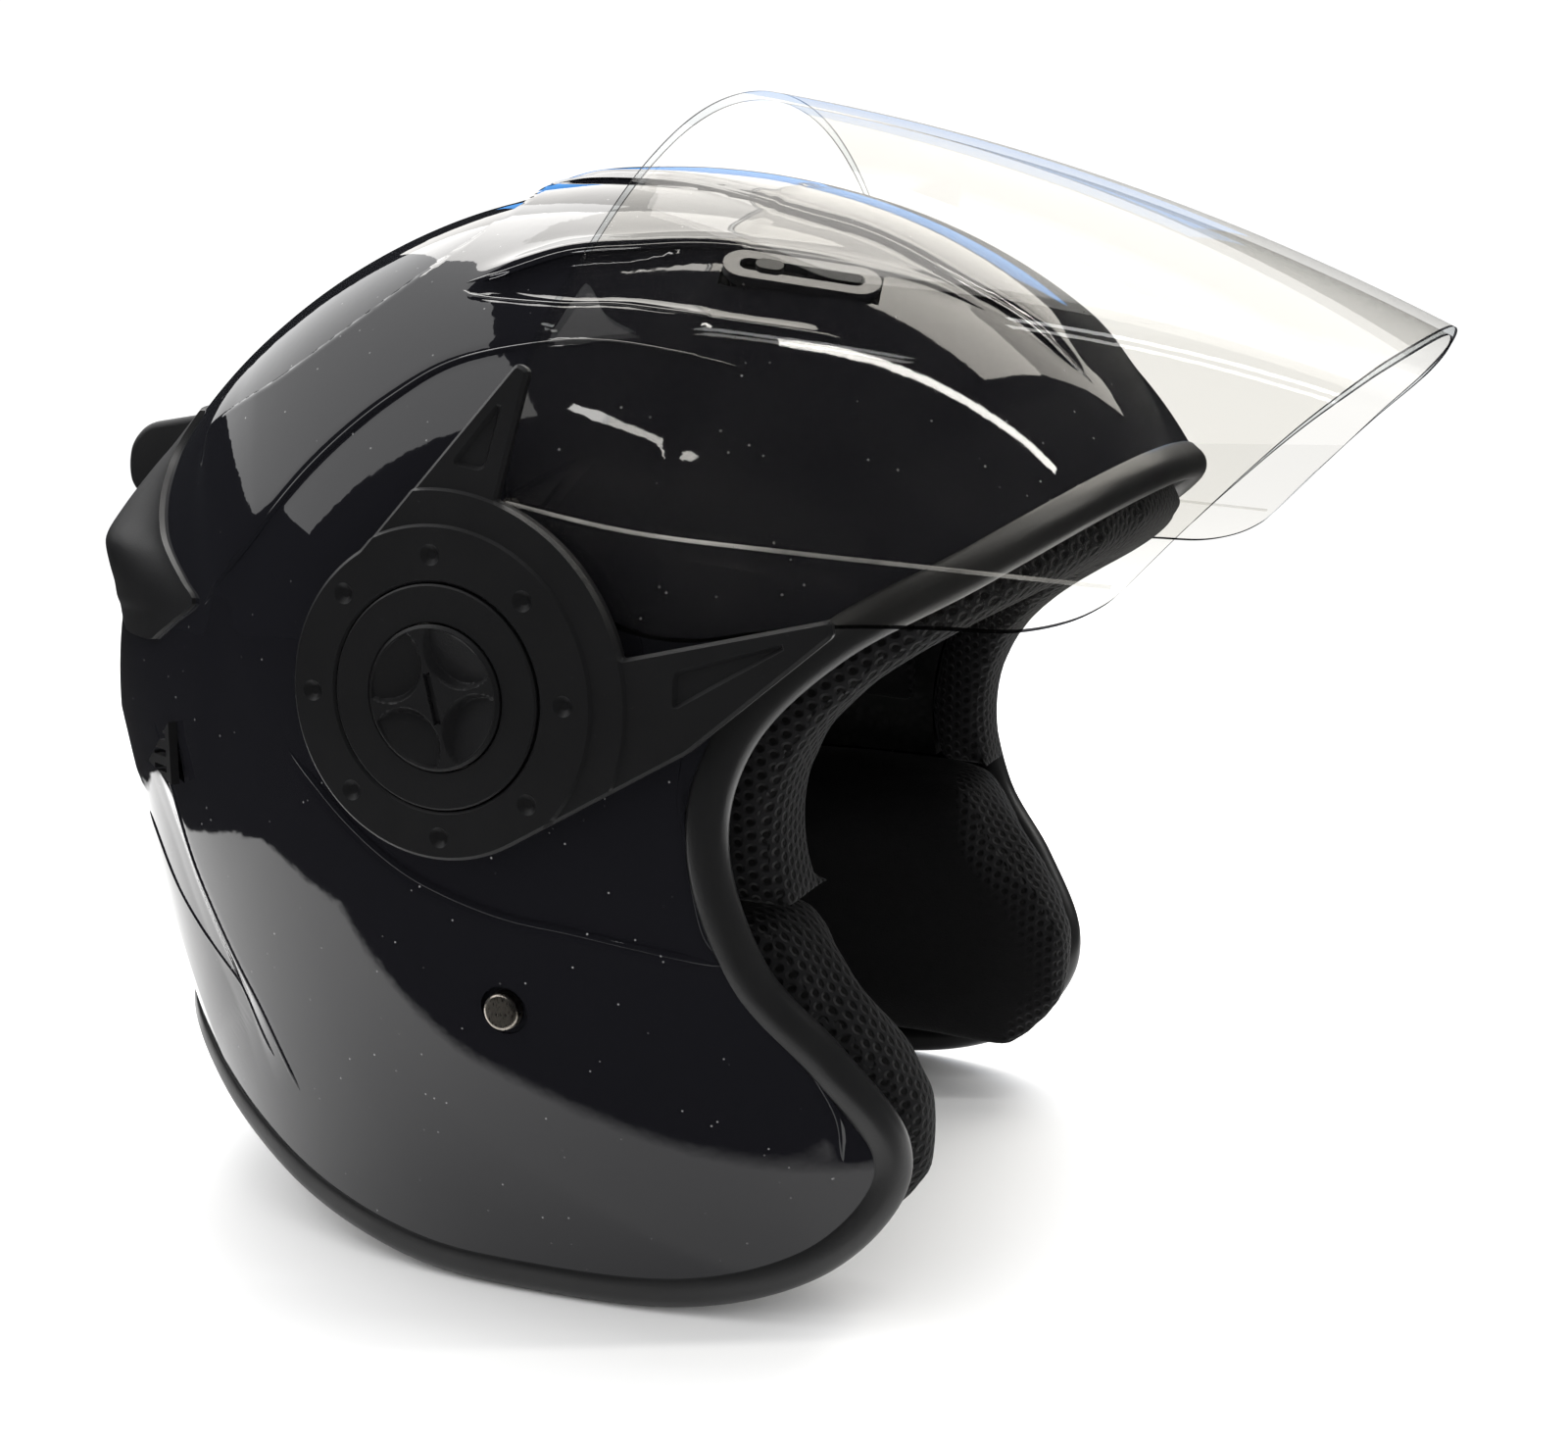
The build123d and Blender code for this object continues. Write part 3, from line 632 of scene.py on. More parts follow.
def girth(u, v=None):
    """Length along the visor's section from v = 0 up to v, or to the crown."""
    crown, top, side, leg_end, turn = visor_profile(u)
    bent = leg_end + VISOR_SHOULDER_RADIUS * turn
    if v is None:
        return bent + top * (math.pi / 2 - turn)
    shoulder = np.arcsin(np.clip((v - leg_end) / VISOR_SHOULDER_RADIUS, 0, 1))
    over = np.arcsin(np.clip((v - crown + top) / top, 0, 1))
    on_shoulder = leg_end + VISOR_SHOULDER_RADIUS * shoulder
    on_top = bent + top * (over - turn)
    return np.where(v < leg_end, v, np.where(shoulder < turn, on_shoulder, on_top))


def on_visor(u, s):
    """(x, v) of the visor's outer face at u, at girth s."""
    crown, top, side, leg_end, turn = visor_profile(u)
    bent = leg_end + VISOR_SHOULDER_RADIUS * turn
    shoulder = np.clip((s - leg_end) / VISOR_SHOULDER_RADIUS, 0, turn)
    over = turn + np.clip(s - bent, 0, None) / top
    on_top = s > bent
    x = np.where(on_top, top * np.cos(over), side + VISOR_SHOULDER_RADIUS * np.cos(shoulder))
    low = np.where(s < leg_end, s, leg_end + VISOR_SHOULDER_RADIUS * np.sin(shoulder))
    return x, np.where(on_top, crown - top + top * np.sin(over), low)


def from_visor_axes(x, u, v):
    """Visor axes, u along the crown and v square to it, to helmet axes."""
    c, s = math.cos(VISOR_TILT), math.sin(VISOR_TILT)
    return np.stack([x, -u * c - v * s, PIVOT_Z - u * s + v * c], axis=-1)


def until_crown(edge):
    """The (u, v) edge as (u, girth) points that end on the crown line."""
    line = through(edge, 400)
    crown = visor_profile(line[:, 0])[0]
    line = line[:np.flatnonzero(line[:, 1] < crown)[-1] + 1]
    line = np.stack([line[:, 0], girth(line[:, 0], line[:, 1])], axis=1)
    line[-1, 1] = girth(line[-1, 0])
    return line


def along_line(line, places):
    """The evenly spaced polyline sampled at places from 0 to 1."""
    at = np.linspace(0, 1, len(line))
    return np.stack([np.interp(places, at, line[:, k]) for k in range(line.shape[1])], axis=1)


def visor_grid():
    """Grid of points over the right half of the visor, and how far each is above the fold.

    The grid is a Coons patch in (u, girth). Its columns go from the rear edge to the mouth
    and its rows from the lower edge to the crown. Its outermost cells are VISOR_BAND wide.
    """
    rear = evenly(until_crown(VISOR_REAR_EDGE), VISOR_ROWS)
    mouth = evenly(until_crown(VISOR_MOUTH_EDGE), VISOR_ROWS)
    lower = through(VISOR_LOWER_EDGE, VISOR_COLUMNS)
    lower[:, 1] = girth(lower[:, 0], lower[:, 1])
    band = VISOR_BAND / VISOR_ALONG
    t = np.concatenate([[0], np.linspace(band, 1 - band, VISOR_COLUMNS - 2), [1]])
    r = np.concatenate([[0], np.linspace(VISOR_BAND / VISOR_UP, 1, VISOR_ROWS - 1)])
    rear, mouth, lower = along_line(rear, r), along_line(mouth, r), along_line(lower, t)
    crown_u = rear[-1, 0] + (mouth[-1, 0] - rear[-1, 0]) * t
    crown = np.stack([crown_u, girth(crown_u)], axis=1)
    t, r = t[None, :, None], r[:, None, None]
    corners = ((1 - t) * (1 - r) * rear[0] + t * (1 - r) * mouth[0]
               + (1 - t) * r * rear[-1] + t * r * mouth[-1])
    flat = (1 - r) * lower + r * crown + (1 - t) * rear[:, None] + t * mouth[:, None] - corners
    u, s = flat[..., 0], flat[..., 1]
    s[-1] = girth(u[-1])
    x, v = on_visor(u, s)
    x[-1] = 0
    crease = through(VISOR_CREASE, 200)
    return from_visor_axes(x, u, v), v - np.interp(u, crease[:, 0], crease[:, 1])


def visor_sheet():
    """Clear sheet, sunk below its fold, with a rim and edge bands of their own materials; the edge bands
    carry a painted dark line.
    """
    half, above = visor_grid()
    sheet = np.concatenate([half, half[-2::-1] * (-1, 1, 1)])
    above = np.concatenate([above, above[-2::-1]])
    normal = unit(np.cross(np.gradient(sheet, axis=0), np.gradient(sheet, axis=1)))
    normal *= np.sign(np.sum(normal * (sheet - VISOR_MIDDLE), axis=-1))[..., None]
    sink = VISOR_INSET + FOLD_DEPTH * (1 - smoothstep(-FOLD_HALF_RUN, FOLD_HALF_RUN, above))
    outer = sheet - normal * sink[..., None]
    inner = outer - normal * VISOR_WALL
    rows, columns = sheet.shape[:2]
    ids = np.arange(rows * columns).reshape(rows, columns)
    border = np.concatenate([ids[0], ids[1:, -1], ids[-1, -2::-1], ids[-2:0:-1, 0]])
    rim = [(a, b, b + ids.size, a + ids.size) for a, b in zip(border, np.roll(border, -1))]
    faces = [*grid_faces(rows, columns), *grid_faces(rows, columns, ids.size)]
    points = np.vstack([outer.reshape(-1, 3), inner.reshape(-1, 3)])
    piece = smooth(piece_from("visor_sheet", points, faces + rim), 50)
    dress(piece, *VISOR_FINISHES)
    for face in piece.data.polygons:
        row, column = divmod(face.index % (len(faces) // 2), columns - 1)
        if face.index >= len(faces):
            face.material_index = RIM
        elif column in (0, columns - 2) or row in (0, rows - 2):
            # The outermost cells turn nearly black: a painted dark line, painted shade along the sheet's
            # edges.
            face.material_index = EDGE
    return join([piece, fold_line(1), fold_line(-1)])


def fold_line(side):
    """Fine rounded rib along the fold on one side of the visor, in a whitish painted-highlight material."""
    crease = through(VISOR_CREASE, 160)[4:-3]
    u, s = crease[:, 0], girth(crease[:, 0], crease[:, 1])
    rows = []
    for across, out in FOLD_RIB:
        x, v = on_visor(u, s + across)
        above = on_visor(u, s + across + 0.5)
        run = unit(np.stack([above[0] - x, above[1] - v], axis=1))
        rows.append(from_visor_axes((x + run[:, 1] * out) * side, u, v - run[:, 0] * out))
    piece = smooth(piece_from("fold", np.concatenate(rows), grid_faces(len(rows), len(u))))
    dress(piece, *VISOR_FINISHES)
    for face in piece.data.polygons:
        # The fold rib wears the whitish painted-highlight material.
        face.material_index = FOLD
    return piece


# ------------ visor fittings
PLATE_BACK_X = 118.0
PLATE_DISC_R = 33.8
PLATE_SECTOR_R = 42.5
PLATE_BORE_R = 23.6
PLATE_ARM_X = 120.0
PLATE_STEP = 0.6
# Radii inside which the plate's face rises by PLATE_STEP, over PLATE_STEP_RUN either way.
PLATE_STEP_RADII = (34.9, 42.1)
PLATE_STEP_RUN = 0.3
PLATE_BEVEL = 0.7
BORE_BEVEL = 0.5
PLATE_TANGENTS = [(-25.2, 22.7), (25.0, -22.7)]
UPPER_ARM_TIP = [(0.4, 69.0), (-2.6, 69.6)]
LOWER_ARM_ROOT = (36.04, 22.52)
LOWER_ARM_TIP = [(54.7, 9.9), (75.4, 42.6), (73.8, 45.3)]
PLATE_RECESSES = [
    [(-3.2, 63.0), (-10.8, 46.0), (-3.0, 47.0)],
    [(70.5, 40.4), (47.0, 24.4), (49.2, 16.6)],
]
RECESS_DEPTH = 0.9
RECESS_SLOPE = 0.8
DIMPLE_CIRCLE_R = 29.0
DIMPLE_RADII = (2.2, 1.6, 0.9)
DIMPLE_DEPTH = 1.2
OUTLINE_STEP = 0.7
RECESS_ROUND = 2.2
TIP_ROUND = 1.2
KNOB_R = 15.1
KNOB_GRIP_R = 14.1
KNOB_FACE_X = 122.2
KNOB_TURN = 76.0
KNOB_SIDES = 200
KNOB_HOLLOW_AT = 12.4
KNOB_HOLLOW_R = 8.3
KNOB_SLOT = (5.2, 0.75)
RING_PROFILE = [(15.35, 118.2), (15.35, 121.0), (15.6, 121.3), (22.8, 121.4), (23.2, 121.1), (23.35, 118.2)]
RING_SIDES = 160


def arc(radius, start, end, step_mm=OUTLINE_STEP):
    """Points round the pivot from one angle to another, in degrees."""
    count = max(3, int(radius * math.radians(abs(end - start)) / step_mm))
    turn = np.radians(np.linspace(start, end, count))
    return np.stack([radius * np.cos(turn), radius * np.sin(turn)], axis=1)


def rounded(corners, cut):
    """Closed outline with each corner rounded off from cut mm before it."""
    corners = np.asarray(corners, float)
    outline = []
    for before, corner, after in zip(np.roll(corners, 1, 0), corners, np.roll(corners, -1, 0)):
        start = corner + (before - corner) * min(0.45, cut / np.linalg.norm(before - corner))
        end = corner + (after - corner) * min(0.45, cut / np.linalg.norm(after - corner))
        for t in np.linspace(0, 1, 7):
            outline.append((1 - t) ** 2 * start + 2 * t * (1 - t) * corner + t**2 * end)
    return np.array(outline)


def spaced(outline, step_mm=OUTLINE_STEP):
    """Closed outline with points about step_mm apart."""
    outline = np.asarray(outline, float)
    closed = np.vstack([outline, outline[:1]])
    length = np.sum(np.linalg.norm(np.diff(closed, axis=0), axis=1))
    return evenly(closed, max(8, int(length / step_mm)) + 1)[:-1]


def from_outline(points, outline):
    """Distance of the points inside a closed outline, negative outside it."""
    nearest = np.full(len(points), FAR)
    inside = np.zeros(len(points), bool)
    for a, b in zip(outline, np.roll(outline, -1, axis=0)):
        chord = b - a
        away = points - a
        t = np.clip(away @ chord / max(chord @ chord, 1e-12), 0, 1)
        nearest = np.minimum(nearest, np.linalg.norm(away - t[:, None] * chord, axis=1))
        crosses = (a[1] > points[:, 1]) != (b[1] > points[:, 1])
        rise = b[1] - a[1] if b[1] != a[1] else 1e-12
        inside ^= crosses & (points[:, 0] < a[0] + (points[:, 1] - a[1]) * chord[0] / rise)
    return np.where(inside, nearest, -nearest)


def inset(outline, amount):
    """Closed outline moved inwards."""
    along = unit(np.roll(outline, -1, axis=0) - np.roll(outline, 1, axis=0))
    normal = np.stack([-along[:, 1], along[:, 0]], axis=1)
    moved = outline + normal * amount
    if np.median(from_outline(moved, outline)) < 0:
        moved = outline - normal * amount
    return moved[from_outline(moved, outline) > amount * 0.6]


def plate_outline():
    """The side plate's outline: disc, upper arm, sector, lower arm."""
    upper, lower = (math.degrees(math.atan2(v, u)) for u, v in PLATE_TANGENTS)
    sector_start = math.degrees(math.atan2(LOWER_ARM_ROOT[1], LOWER_ARM_ROOT[0]))
    lower_tip = rounded([PLATE_TANGENTS[1], *LOWER_ARM_TIP, LOWER_ARM_ROOT], TIP_ROUND)[7:28]
    upper_tip = rounded([(0.95, PLATE_SECTOR_R), *UPPER_ARM_TIP, PLATE_TANGENTS[0]], TIP_ROUND)[7:21]
    disc = arc(PLATE_DISC_R, upper, lower + 360)
    return spaced(np.vstack([lower_tip, arc(PLATE_SECTOR_R, sector_start, 88.7), upper_tip, disc]))


def side_plate():
    """Plate of the right side: bevelled outline, two raised steps, recesses and dimples."""
    outline = plate_outline()
    recesses = [rounded(r, RECESS_ROUND) for r in PLATE_RECESSES]
    turns = np.arange(0, 360, 45) + math.degrees(VISOR_TILT)
    dimples = [arc(DIMPLE_CIRCLE_R, t, t + 1)[0] for t in turns]
    bore = arc(PLATE_BORE_R, 0, 360)[:-1]
    loops = [outline, inset(outline, PLATE_BEVEL), bore, bore * (PLATE_BORE_R + BORE_BEVEL) / PLATE_BORE_R]
    for recess in recesses:
        loops += [spaced(recess), inset(spaced(recess), RECESS_SLOPE)]
    for centre in dimples:
        loops += [centre + arc(r, 0, 360, OUTLINE_STEP / 2)[:-1] for r in DIMPLE_RADII]
    steps = [arc(radius + run, -60, 150) for radius in PLATE_STEP_RADII
             for run in (PLATE_STEP_RUN, -PLATE_STEP_RUN)]
    points, edges = [], []
    for i, loop in enumerate(loops + steps):
        start, count = len(points), len(loop)
        points += [Vector(p) for p in loop]
        links = count if i < len(loops) else count - 1
        edges += [(start + k, start + (k + 1) % count) for k in range(links)]
    found, _, faces, *_ = delaunay_2d_cdt(points, edges, [], 0, 1e-4)
    flat = np.array([tuple(p) for p in found])
    faces = np.array(faces)
    middle = flat[faces].mean(axis=1)
    faces = faces[(from_outline(middle, outline) > 0) & (np.linalg.norm(middle, axis=1) > PLATE_BORE_R)]

    radius = np.linalg.norm(flat, axis=1)
    height = PLATE_ARM_X + PLATE_STEP * sum((radius < edge).astype(float) for edge in PLATE_STEP_RADII)
    height -= PLATE_BEVEL * (1 - np.clip(from_outline(flat, outline) / PLATE_BEVEL, 0, 1))
    height -= BORE_BEVEL * (1 - np.clip((radius - PLATE_BORE_R) / BORE_BEVEL, 0, 1))
    for recess in recesses:
        height -= RECESS_DEPTH * np.clip(from_outline(flat, recess) / RECESS_SLOPE, 0, 1)
    for centre in dimples:
        off = np.linalg.norm(flat - centre, axis=1)
        height -= DIMPLE_DEPTH * np.clip(1 - (off / DIMPLE_RADII[0]) ** 2, 0, 1)

    count = len(flat)
    flat = np.vstack([flat, outline, bore])
    height = np.concatenate([height, np.full(len(outline) + len(bore), PLATE_BACK_X)])
    faces = list(faces)
    for loop, start in ((outline, count), (bore, count + len(outline))):
        rim = [int(np.argmin(np.linalg.norm(flat[:count] - p, axis=1))) for p in loop]
        for k in range(len(loop)):
            after = (k + 1) % len(loop)
            faces.append((rim[k], rim[after], start + after, start + k))
    return fitting("plate_right", flat, height, faces)


def fitting(name, flat, height, faces):
    """Piece from (u, v) points at heights outboard of the right side of the visor."""
    points = from_visor_axes(-height, flat[:, 0], flat[:, 1])
    return piece_from(name, points, faces)


def knob_face(flat, radius):
    """Grip of the knob: four tilted hollows leave a four-pointed star round a coin slot."""
    height = np.full(len(flat), KNOB_FACE_X)
    for k in range(4):
        turn = math.radians(KNOB_TURN + 90 * k)
        towards = np.array([math.cos(turn), math.sin(turn)])
        wall = 1.5 * (KNOB_HOLLOW_R - np.linalg.norm(flat - KNOB_HOLLOW_AT * towards, axis=1))
        floor = 2.5 * (1 - (flat @ towards - 4.0) / 10.6)
        height -= np.clip(np.minimum(wall, floor), 0, None) * (radius < KNOB_GRIP_R)
    turn = math.radians(KNOB_TURN + 45)
    along = np.array([math.cos(turn), math.sin(turn)])
    across = np.array([-along[1], along[0]])
    height -= (np.abs(flat @ along) < KNOB_SLOT[0]) & (np.abs(flat @ across) < KNOB_SLOT[1])
    height -= 0.7 * smoothstep(14.4, KNOB_R, radius)
    return np.where(radius > KNOB_R - 0.01, PLATE_BACK_X + 0.7, height)


def knob():
    """Cap of the right knob: circles of points at the grip's height, closed in the middle."""
    radii = np.concatenate([np.linspace(0.25, 14.2, 60), [14.4, 14.7, 15.0, 15.08, KNOB_R]])
    flat = turned(radii, KNOB_SIDES)
    height = knob_face(flat, np.repeat(radii, KNOB_SIDES))
    flat = np.vstack([flat, [(0, 0)]])
    height = np.append(height, height[:KNOB_SIDES].mean())
    faces = list(grid_faces(len(radii), KNOB_SIDES, closed=True))
    faces += [(len(flat) - 1, k, (k + 1) % KNOB_SIDES) for k in range(KNOB_SIDES)]
    return fitting("knob_cap_right", flat, height, faces)


def clamp_ring():
    """Flat ring between the knob and the side plate."""
    radii, heights = zip(*RING_PROFILE)
    faces = grid_faces(len(radii), RING_SIDES, closed=True)
    return fitting("ring_right", turned(radii, RING_SIDES), np.repeat(heights, RING_SIDES), faces)


# ------------ spoiler
SPOILER_ROWS = 64
SPOILER_COLUMNS = 90
SPOILER_INNER = [
    (-92, 94, 145), (-96.5, 84.5, 150), (-100, 75.5, 155), (-96.5, 81, 159.5), (-92, 87, 163.5),
    (-87, 93, 167.5), (-83, 97, 171), (-76, 101.5, 177), (-69, 104.5, 183), (-62, 107, 189),
    (-57, 107, 197),
]
SPOILER_CENTRE_Z = [(0, 143), (0.2, 150), (0.47, 167.5), (1, 199)]
SPOILER_PROUD = [
    (0, -0.5), (0.15, 1.0), (0.25, 3.0), (0.40, 7.2), (0.45, 8.4), (0.5, 8.2), (0.6, 6.8),
    (0.85, 3.4), (1, 2.4),
]
SPOILER_THIN = 1.3
SPOILER_SUNK = 2.5
DUCT_SIDE = [(105, 168), (149, 170.5), (155, 176), (155.5, 182), (154, 188), (148.5, 193), (105, 199)]
DUCT_HALF_WIDTH = 21.0
DUCT_Z = 185


def rear_spoiler():
    """Wing round the back of the shell: proud along its lip, thin where it meets the shell."""
    inner = through(SPOILER_INNER, SPOILER_ROWS)
    w = np.linspace(0, 1, SPOILER_ROWS)
    centre_z = np.interp(w, *zip(*SPOILER_CENTRE_Z))
    proud = np.interp(w, *zip(*SPOILER_PROUD))
    for _ in range(2):
        proud[1:-1] = (proud[:-2] + 2 * proud[1:-1] + proud[2:]) / 4
    t = np.linspace(0, 1, SPOILER_COLUMNS)
    start = np.arctan2(inner[:, 1], -inner[:, 0])[:, None]
    angle = start + (math.pi / 2 - start) * t
    z = inner[:, 2][:, None] + (centre_z - inner[:, 2])[:, None] * smoothstep(-0.15, 1.0, t) ** 0.8
    z[:, 0] = inner[:, 2]
    lift = SPOILER_THIN + (proud[:, None] - SPOILER_THIN) * smoothstep(0.0, 0.42, t)
    half, _, rear = reaches(z)
    direction = np.stack([-np.cos(angle), np.sin(angle)], axis=-1)
    reach = (np.abs(direction[..., 0] / half) ** REAR_EXPONENT
             + np.abs(direction[..., 1] / rear) ** REAR_EXPONENT) ** (-1 / REAR_EXPONENT)
    skin = (reach + lift)[..., None] * direction
    points = np.concatenate([skin, z[..., None]], axis=-1)
    sunk = points.copy()
    sunk[..., :2] -= direction * (lift + SPOILER_SUNK)[..., None]
    side = np.vstack([sunk[:1], points, sunk[-1:]])
    front = np.vstack([sunk[:1, :1], sunk[:, :1], sunk[-1:, :1]])
    side = np.concatenate([front, side], axis=1)
    whole = np.concatenate([side, side[:, -2::-1] * (-1, 1, 1)], axis=1)
    faces = grid_faces(whole.shape[0], whole.shape[1])
    wing = piece_from("spoiler_wing", whole.reshape(-1, 3), faces)
    return smooth(join([wing, duct_block()]), 35)


def duct_block():
    """Outlet duct in the middle of the spoiler, with rounded edges."""
    outline = [(y, z - DUCT_Z) for y, z in rounded(DUCT_SIDE, 3.5)]
    start, width = (-DUCT_HALF_WIDTH, 0, DUCT_Z), 2 * DUCT_HALF_WIDTH
    points, faces = prism(start, (1, 0, 0), (0, 1, 0), outline, 0, width)
    duct = piece_from("duct", points, faces)
    bevel = duct.modifiers.new("round", "BEVEL")
    bevel.width = 2.5 * MM
    bevel.segments = 4
    bevel.angle_limit = math.radians(50)
    return apply_modifiers(duct)


# ------------ padding
# Cloth pads, lengths in metres. A pad starts a little smaller than its CAD shape.
PAD_VOXEL = 0.005
PAD_START = 0.985
PAD_PRESSURE = 4.0
PAD_FRAMES = 20
PAD_LIMIT = 0.0025


def puffed(name, source):
    """A pad as a stuffed fabric cover: the CAD pad, pumped up a little from inside."""
    mesh = frame["nodes"][source].data.copy()
    pad = new_object(name, mesh)
    centre = sum((v.co for v in mesh.vertices), Vector()) / len(mesh.vertices)
    remesh = pad.modifiers.new("cover", "REMESH")
    remesh.mode = "VOXEL"
    remesh.voxel_size = PAD_VOXEL
    apply_modifiers(pad)
    relax = pad.modifiers.new("relax", "SMOOTH")
    relax.factor = 0.6
    relax.iterations = 4
    apply_modifiers(pad)
    for vertex in pad.data.vertices:
        vertex.co = centre + (vertex.co - centre) * PAD_START
    inflate(pad)
    finer = pad.modifiers.new("finer", "SUBSURF")
    finer.levels = 1
    apply_modifiers(pad)
    return smooth(pad)


def inflate(pad):
    """Blows the pad up as cloth under pressure; no point moves farther than PAD_LIMIT."""
    rest = [v.co.copy() for v in pad.data.vertices]
    cloth = pad.modifiers.new("cloth", "CLOTH")
    settings = cloth.settings
    settings.quality = 6
    settings.mass = 0.3
    settings.tension_stiffness = 18
    settings.compression_stiffness = 8
    settings.shear_stiffness = 8
    settings.bending_stiffness = 1.2
    settings.use_pressure = True
    settings.uniform_pressure_force = PAD_PRESSURE
    settings.effector_weights.gravity = 0
    cloth.collision_settings.use_collision = False
    cloth.point_cache.frame_start = 1
    cloth.point_cache.frame_end = PAD_FRAMES
    for number in range(1, PAD_FRAMES + 1):
        bpy.context.scene.frame_set(number)
    apply_modifiers(pad)
    bpy.context.scene.frame_set(1)
    for vertex, before in zip(pad.data.vertices, rest):
        moved = vertex.co - before
        if moved.length > PAD_LIMIT:
            vertex.co = before + moved * (PAD_LIMIT / moved.length)


# ------------ materials
NET_PITCH = 0.0029
VISOR_SHINE = 0.3
# Straight edges of the bright table top: direction away from it, and distance in metres.
TABLE_EDGES = [((-0.956, -0.294, 0), 0.144), ((-0.99, 0.14, 0), 0.245), ((-0.254, 0.967, 0), 0.406),
               ((1, 0, 0), 0.33), ((0, -1, 0), 0.30)]


def material(name):
    made = bpy.data.materials.new(name)
    made.use_nodes = True
    return made, made.node_tree


def feed(tree, made, links):
    """Gives a node its inputs, as (input, socket or value) pairs."""
    for key, source in links:
        if isinstance(source, bpy.types.NodeSocket):
            tree.links.new(source, made.inputs[key])
        else:
            made.inputs[key].default_value = source


def node(tree, kind, links=(), **values):
    """Adds a node with the properties in values and the inputs in links."""
    made = tree.nodes.new(kind)
    for key, value in values.items():
        setattr(made, key, value)
    feed(tree, made, links)
    return made


def coordinates(tree):
    return node(tree, "ShaderNodeTexCoord").outputs["Object"]


def noise(tree, scale, detail=3.0, roughness=0.5):
    """Noise whose features are about 1 / scale metres across."""
    links = [("Vector", coordinates(tree)), ("Scale", scale), ("Detail", detail), ("Roughness", roughness)]
    return node(tree, "ShaderNodeTexNoise", links).outputs["Fac"]


def cells(tree, scale):
    links = [("Vector", coordinates(tree)), ("Scale", scale)]
    return node(tree, "ShaderNodeTexVoronoi", links).outputs


def between(tree, value, low, high, to_low, to_high):
    keys = ("Value", "From Min", "From Max", "To Min", "To Max")
    links = zip(keys, (value, low, high, to_low, to_high))
    return node(tree, "ShaderNodeMapRange", links).outputs["Result"]


def mix_colour(tree, factor, first, second):
    links = [(0, factor), (6, first), (7, second)]
    return node(tree, "ShaderNodeMix", links, data_type="RGBA").outputs[2]


def mix_value(tree, factor, first, second):
    return node(tree, "ShaderNodeMix", [(0, factor), (2, first), (3, second)]).outputs[0]


def mix_shader(tree, factor, first, second):
    links = [(0, factor), (1, first.outputs[0]), (2, second.outputs[0])]
    return node(tree, "ShaderNodeMixShader", links)


def maths(tree, operation, first, second=0.0):
    return node(tree, "ShaderNodeMath", [(0, first), (1, second)], operation=operation).outputs[0]


def times(tree, first, second):
    return maths(tree, "MULTIPLY", first, second)


def axes(tree, vector):
    return node(tree, "ShaderNodeSeparateXYZ", [("Vector", vector)]).outputs


def surface(tree, colour, roughness, bump=None, **others):
    """Feeds the main shader. bump is (height, strength, distance); others are more inputs."""
    shader = tree.nodes["Principled BSDF"]
    more = [(key.replace("_", " "), value) for key, value in others.items()]
    feed(tree, shader, [("Base Color", colour), ("Roughness", roughness), *more])
    if bump:
        raised = node(tree, "ShaderNodeBump", zip(("Height", "Strength", "Distance"), bump))
        tree.links.new(raised.outputs["Normal"], shader.inputs["Normal"])


def gloss_shell_material():
    """Gloss black with a few specks of dust."""
    made, tree = material("gloss_black_shell")
    dots = cells(tree, 520.0)
    speck = between(tree, dots["Distance"], 0.05, 0.16, 1.0, 0.0)
    chance = node(tree, "ShaderNodeSeparateColor", [("Color", dots["Color"])])
    few = between(tree, chance.outputs[0], 0.93, 0.95, 0.0, 1.0)
    dust = times(tree, times(tree, speck, few), noise(tree, 30.0))
    colour = mix_colour(tree, dust, (0.006, 0.006, 0.0075, 1), (0.42, 0.42, 0.42, 1))
    rough = between(tree, noise(tree, 26.0, 5.0), 0.3, 0.75, 0.015, 0.05)
    surface(tree, colour, rough, (noise(tree, 180.0, 2.0), 0.05, 0.0004))
    return made


def matte_plastic_material():
    made, tree = material("satin_black_plastic")
    base = mix_colour(tree, noise(tree, 40.0), (0.0055, 0.0055, 0.006, 1), (0.008, 0.008, 0.009, 1))
    scuffs = between(tree, noise(tree, 420.0, 6.0, 0.7), 0.66, 0.74, 0.0, 0.5)
    colour = mix_colour(tree, scuffs, base, (0.024, 0.024, 0.026, 1))
    rough = between(tree, noise(tree, 90.0, 4.0), 0.3, 0.7, 0.40, 0.47)
    surface(tree, colour, rough, (noise(tree, 2600.0, 2.0), 0.14, 0.0003), Specular_IOR_Level=0.38)
    return made


def mottled_material(name, tones, tone_scale, gloss_noise, gloss, grain_scale, grain):
    """Two close tones mixed by noise, uneven gloss between two roughnesses and a fine grain."""
    made, tree = material(name)
    colour = mix_colour(tree, noise(tree, tone_scale), *tones)
    rough = between(tree, noise(tree, *gloss_noise), 0.3, 0.7, *gloss)
    surface(tree, colour, rough, (noise(tree, grain_scale), grain, 0.0003))
    return made


def hexagons(tree, first, second, pitch):
    """Height of a honeycomb net in the plane of two coordinates: 0 in a hole, 1 on a thread."""
    wave = 4 * math.pi / (math.sqrt(3) * pitch)
    total = None
    for turn in (0.0, math.pi / 3, 2 * math.pi / 3):
        along = maths(tree, "ADD", times(tree, first, wave * math.cos(turn)),
                      times(tree, second, wave * math.sin(turn)))
        crest = maths(tree, "COSINE", along)
        total = crest if total is None else maths(tree, "ADD", total, crest)
    return between(tree, total, -0.6, 1.6, 1.0, 0.0)


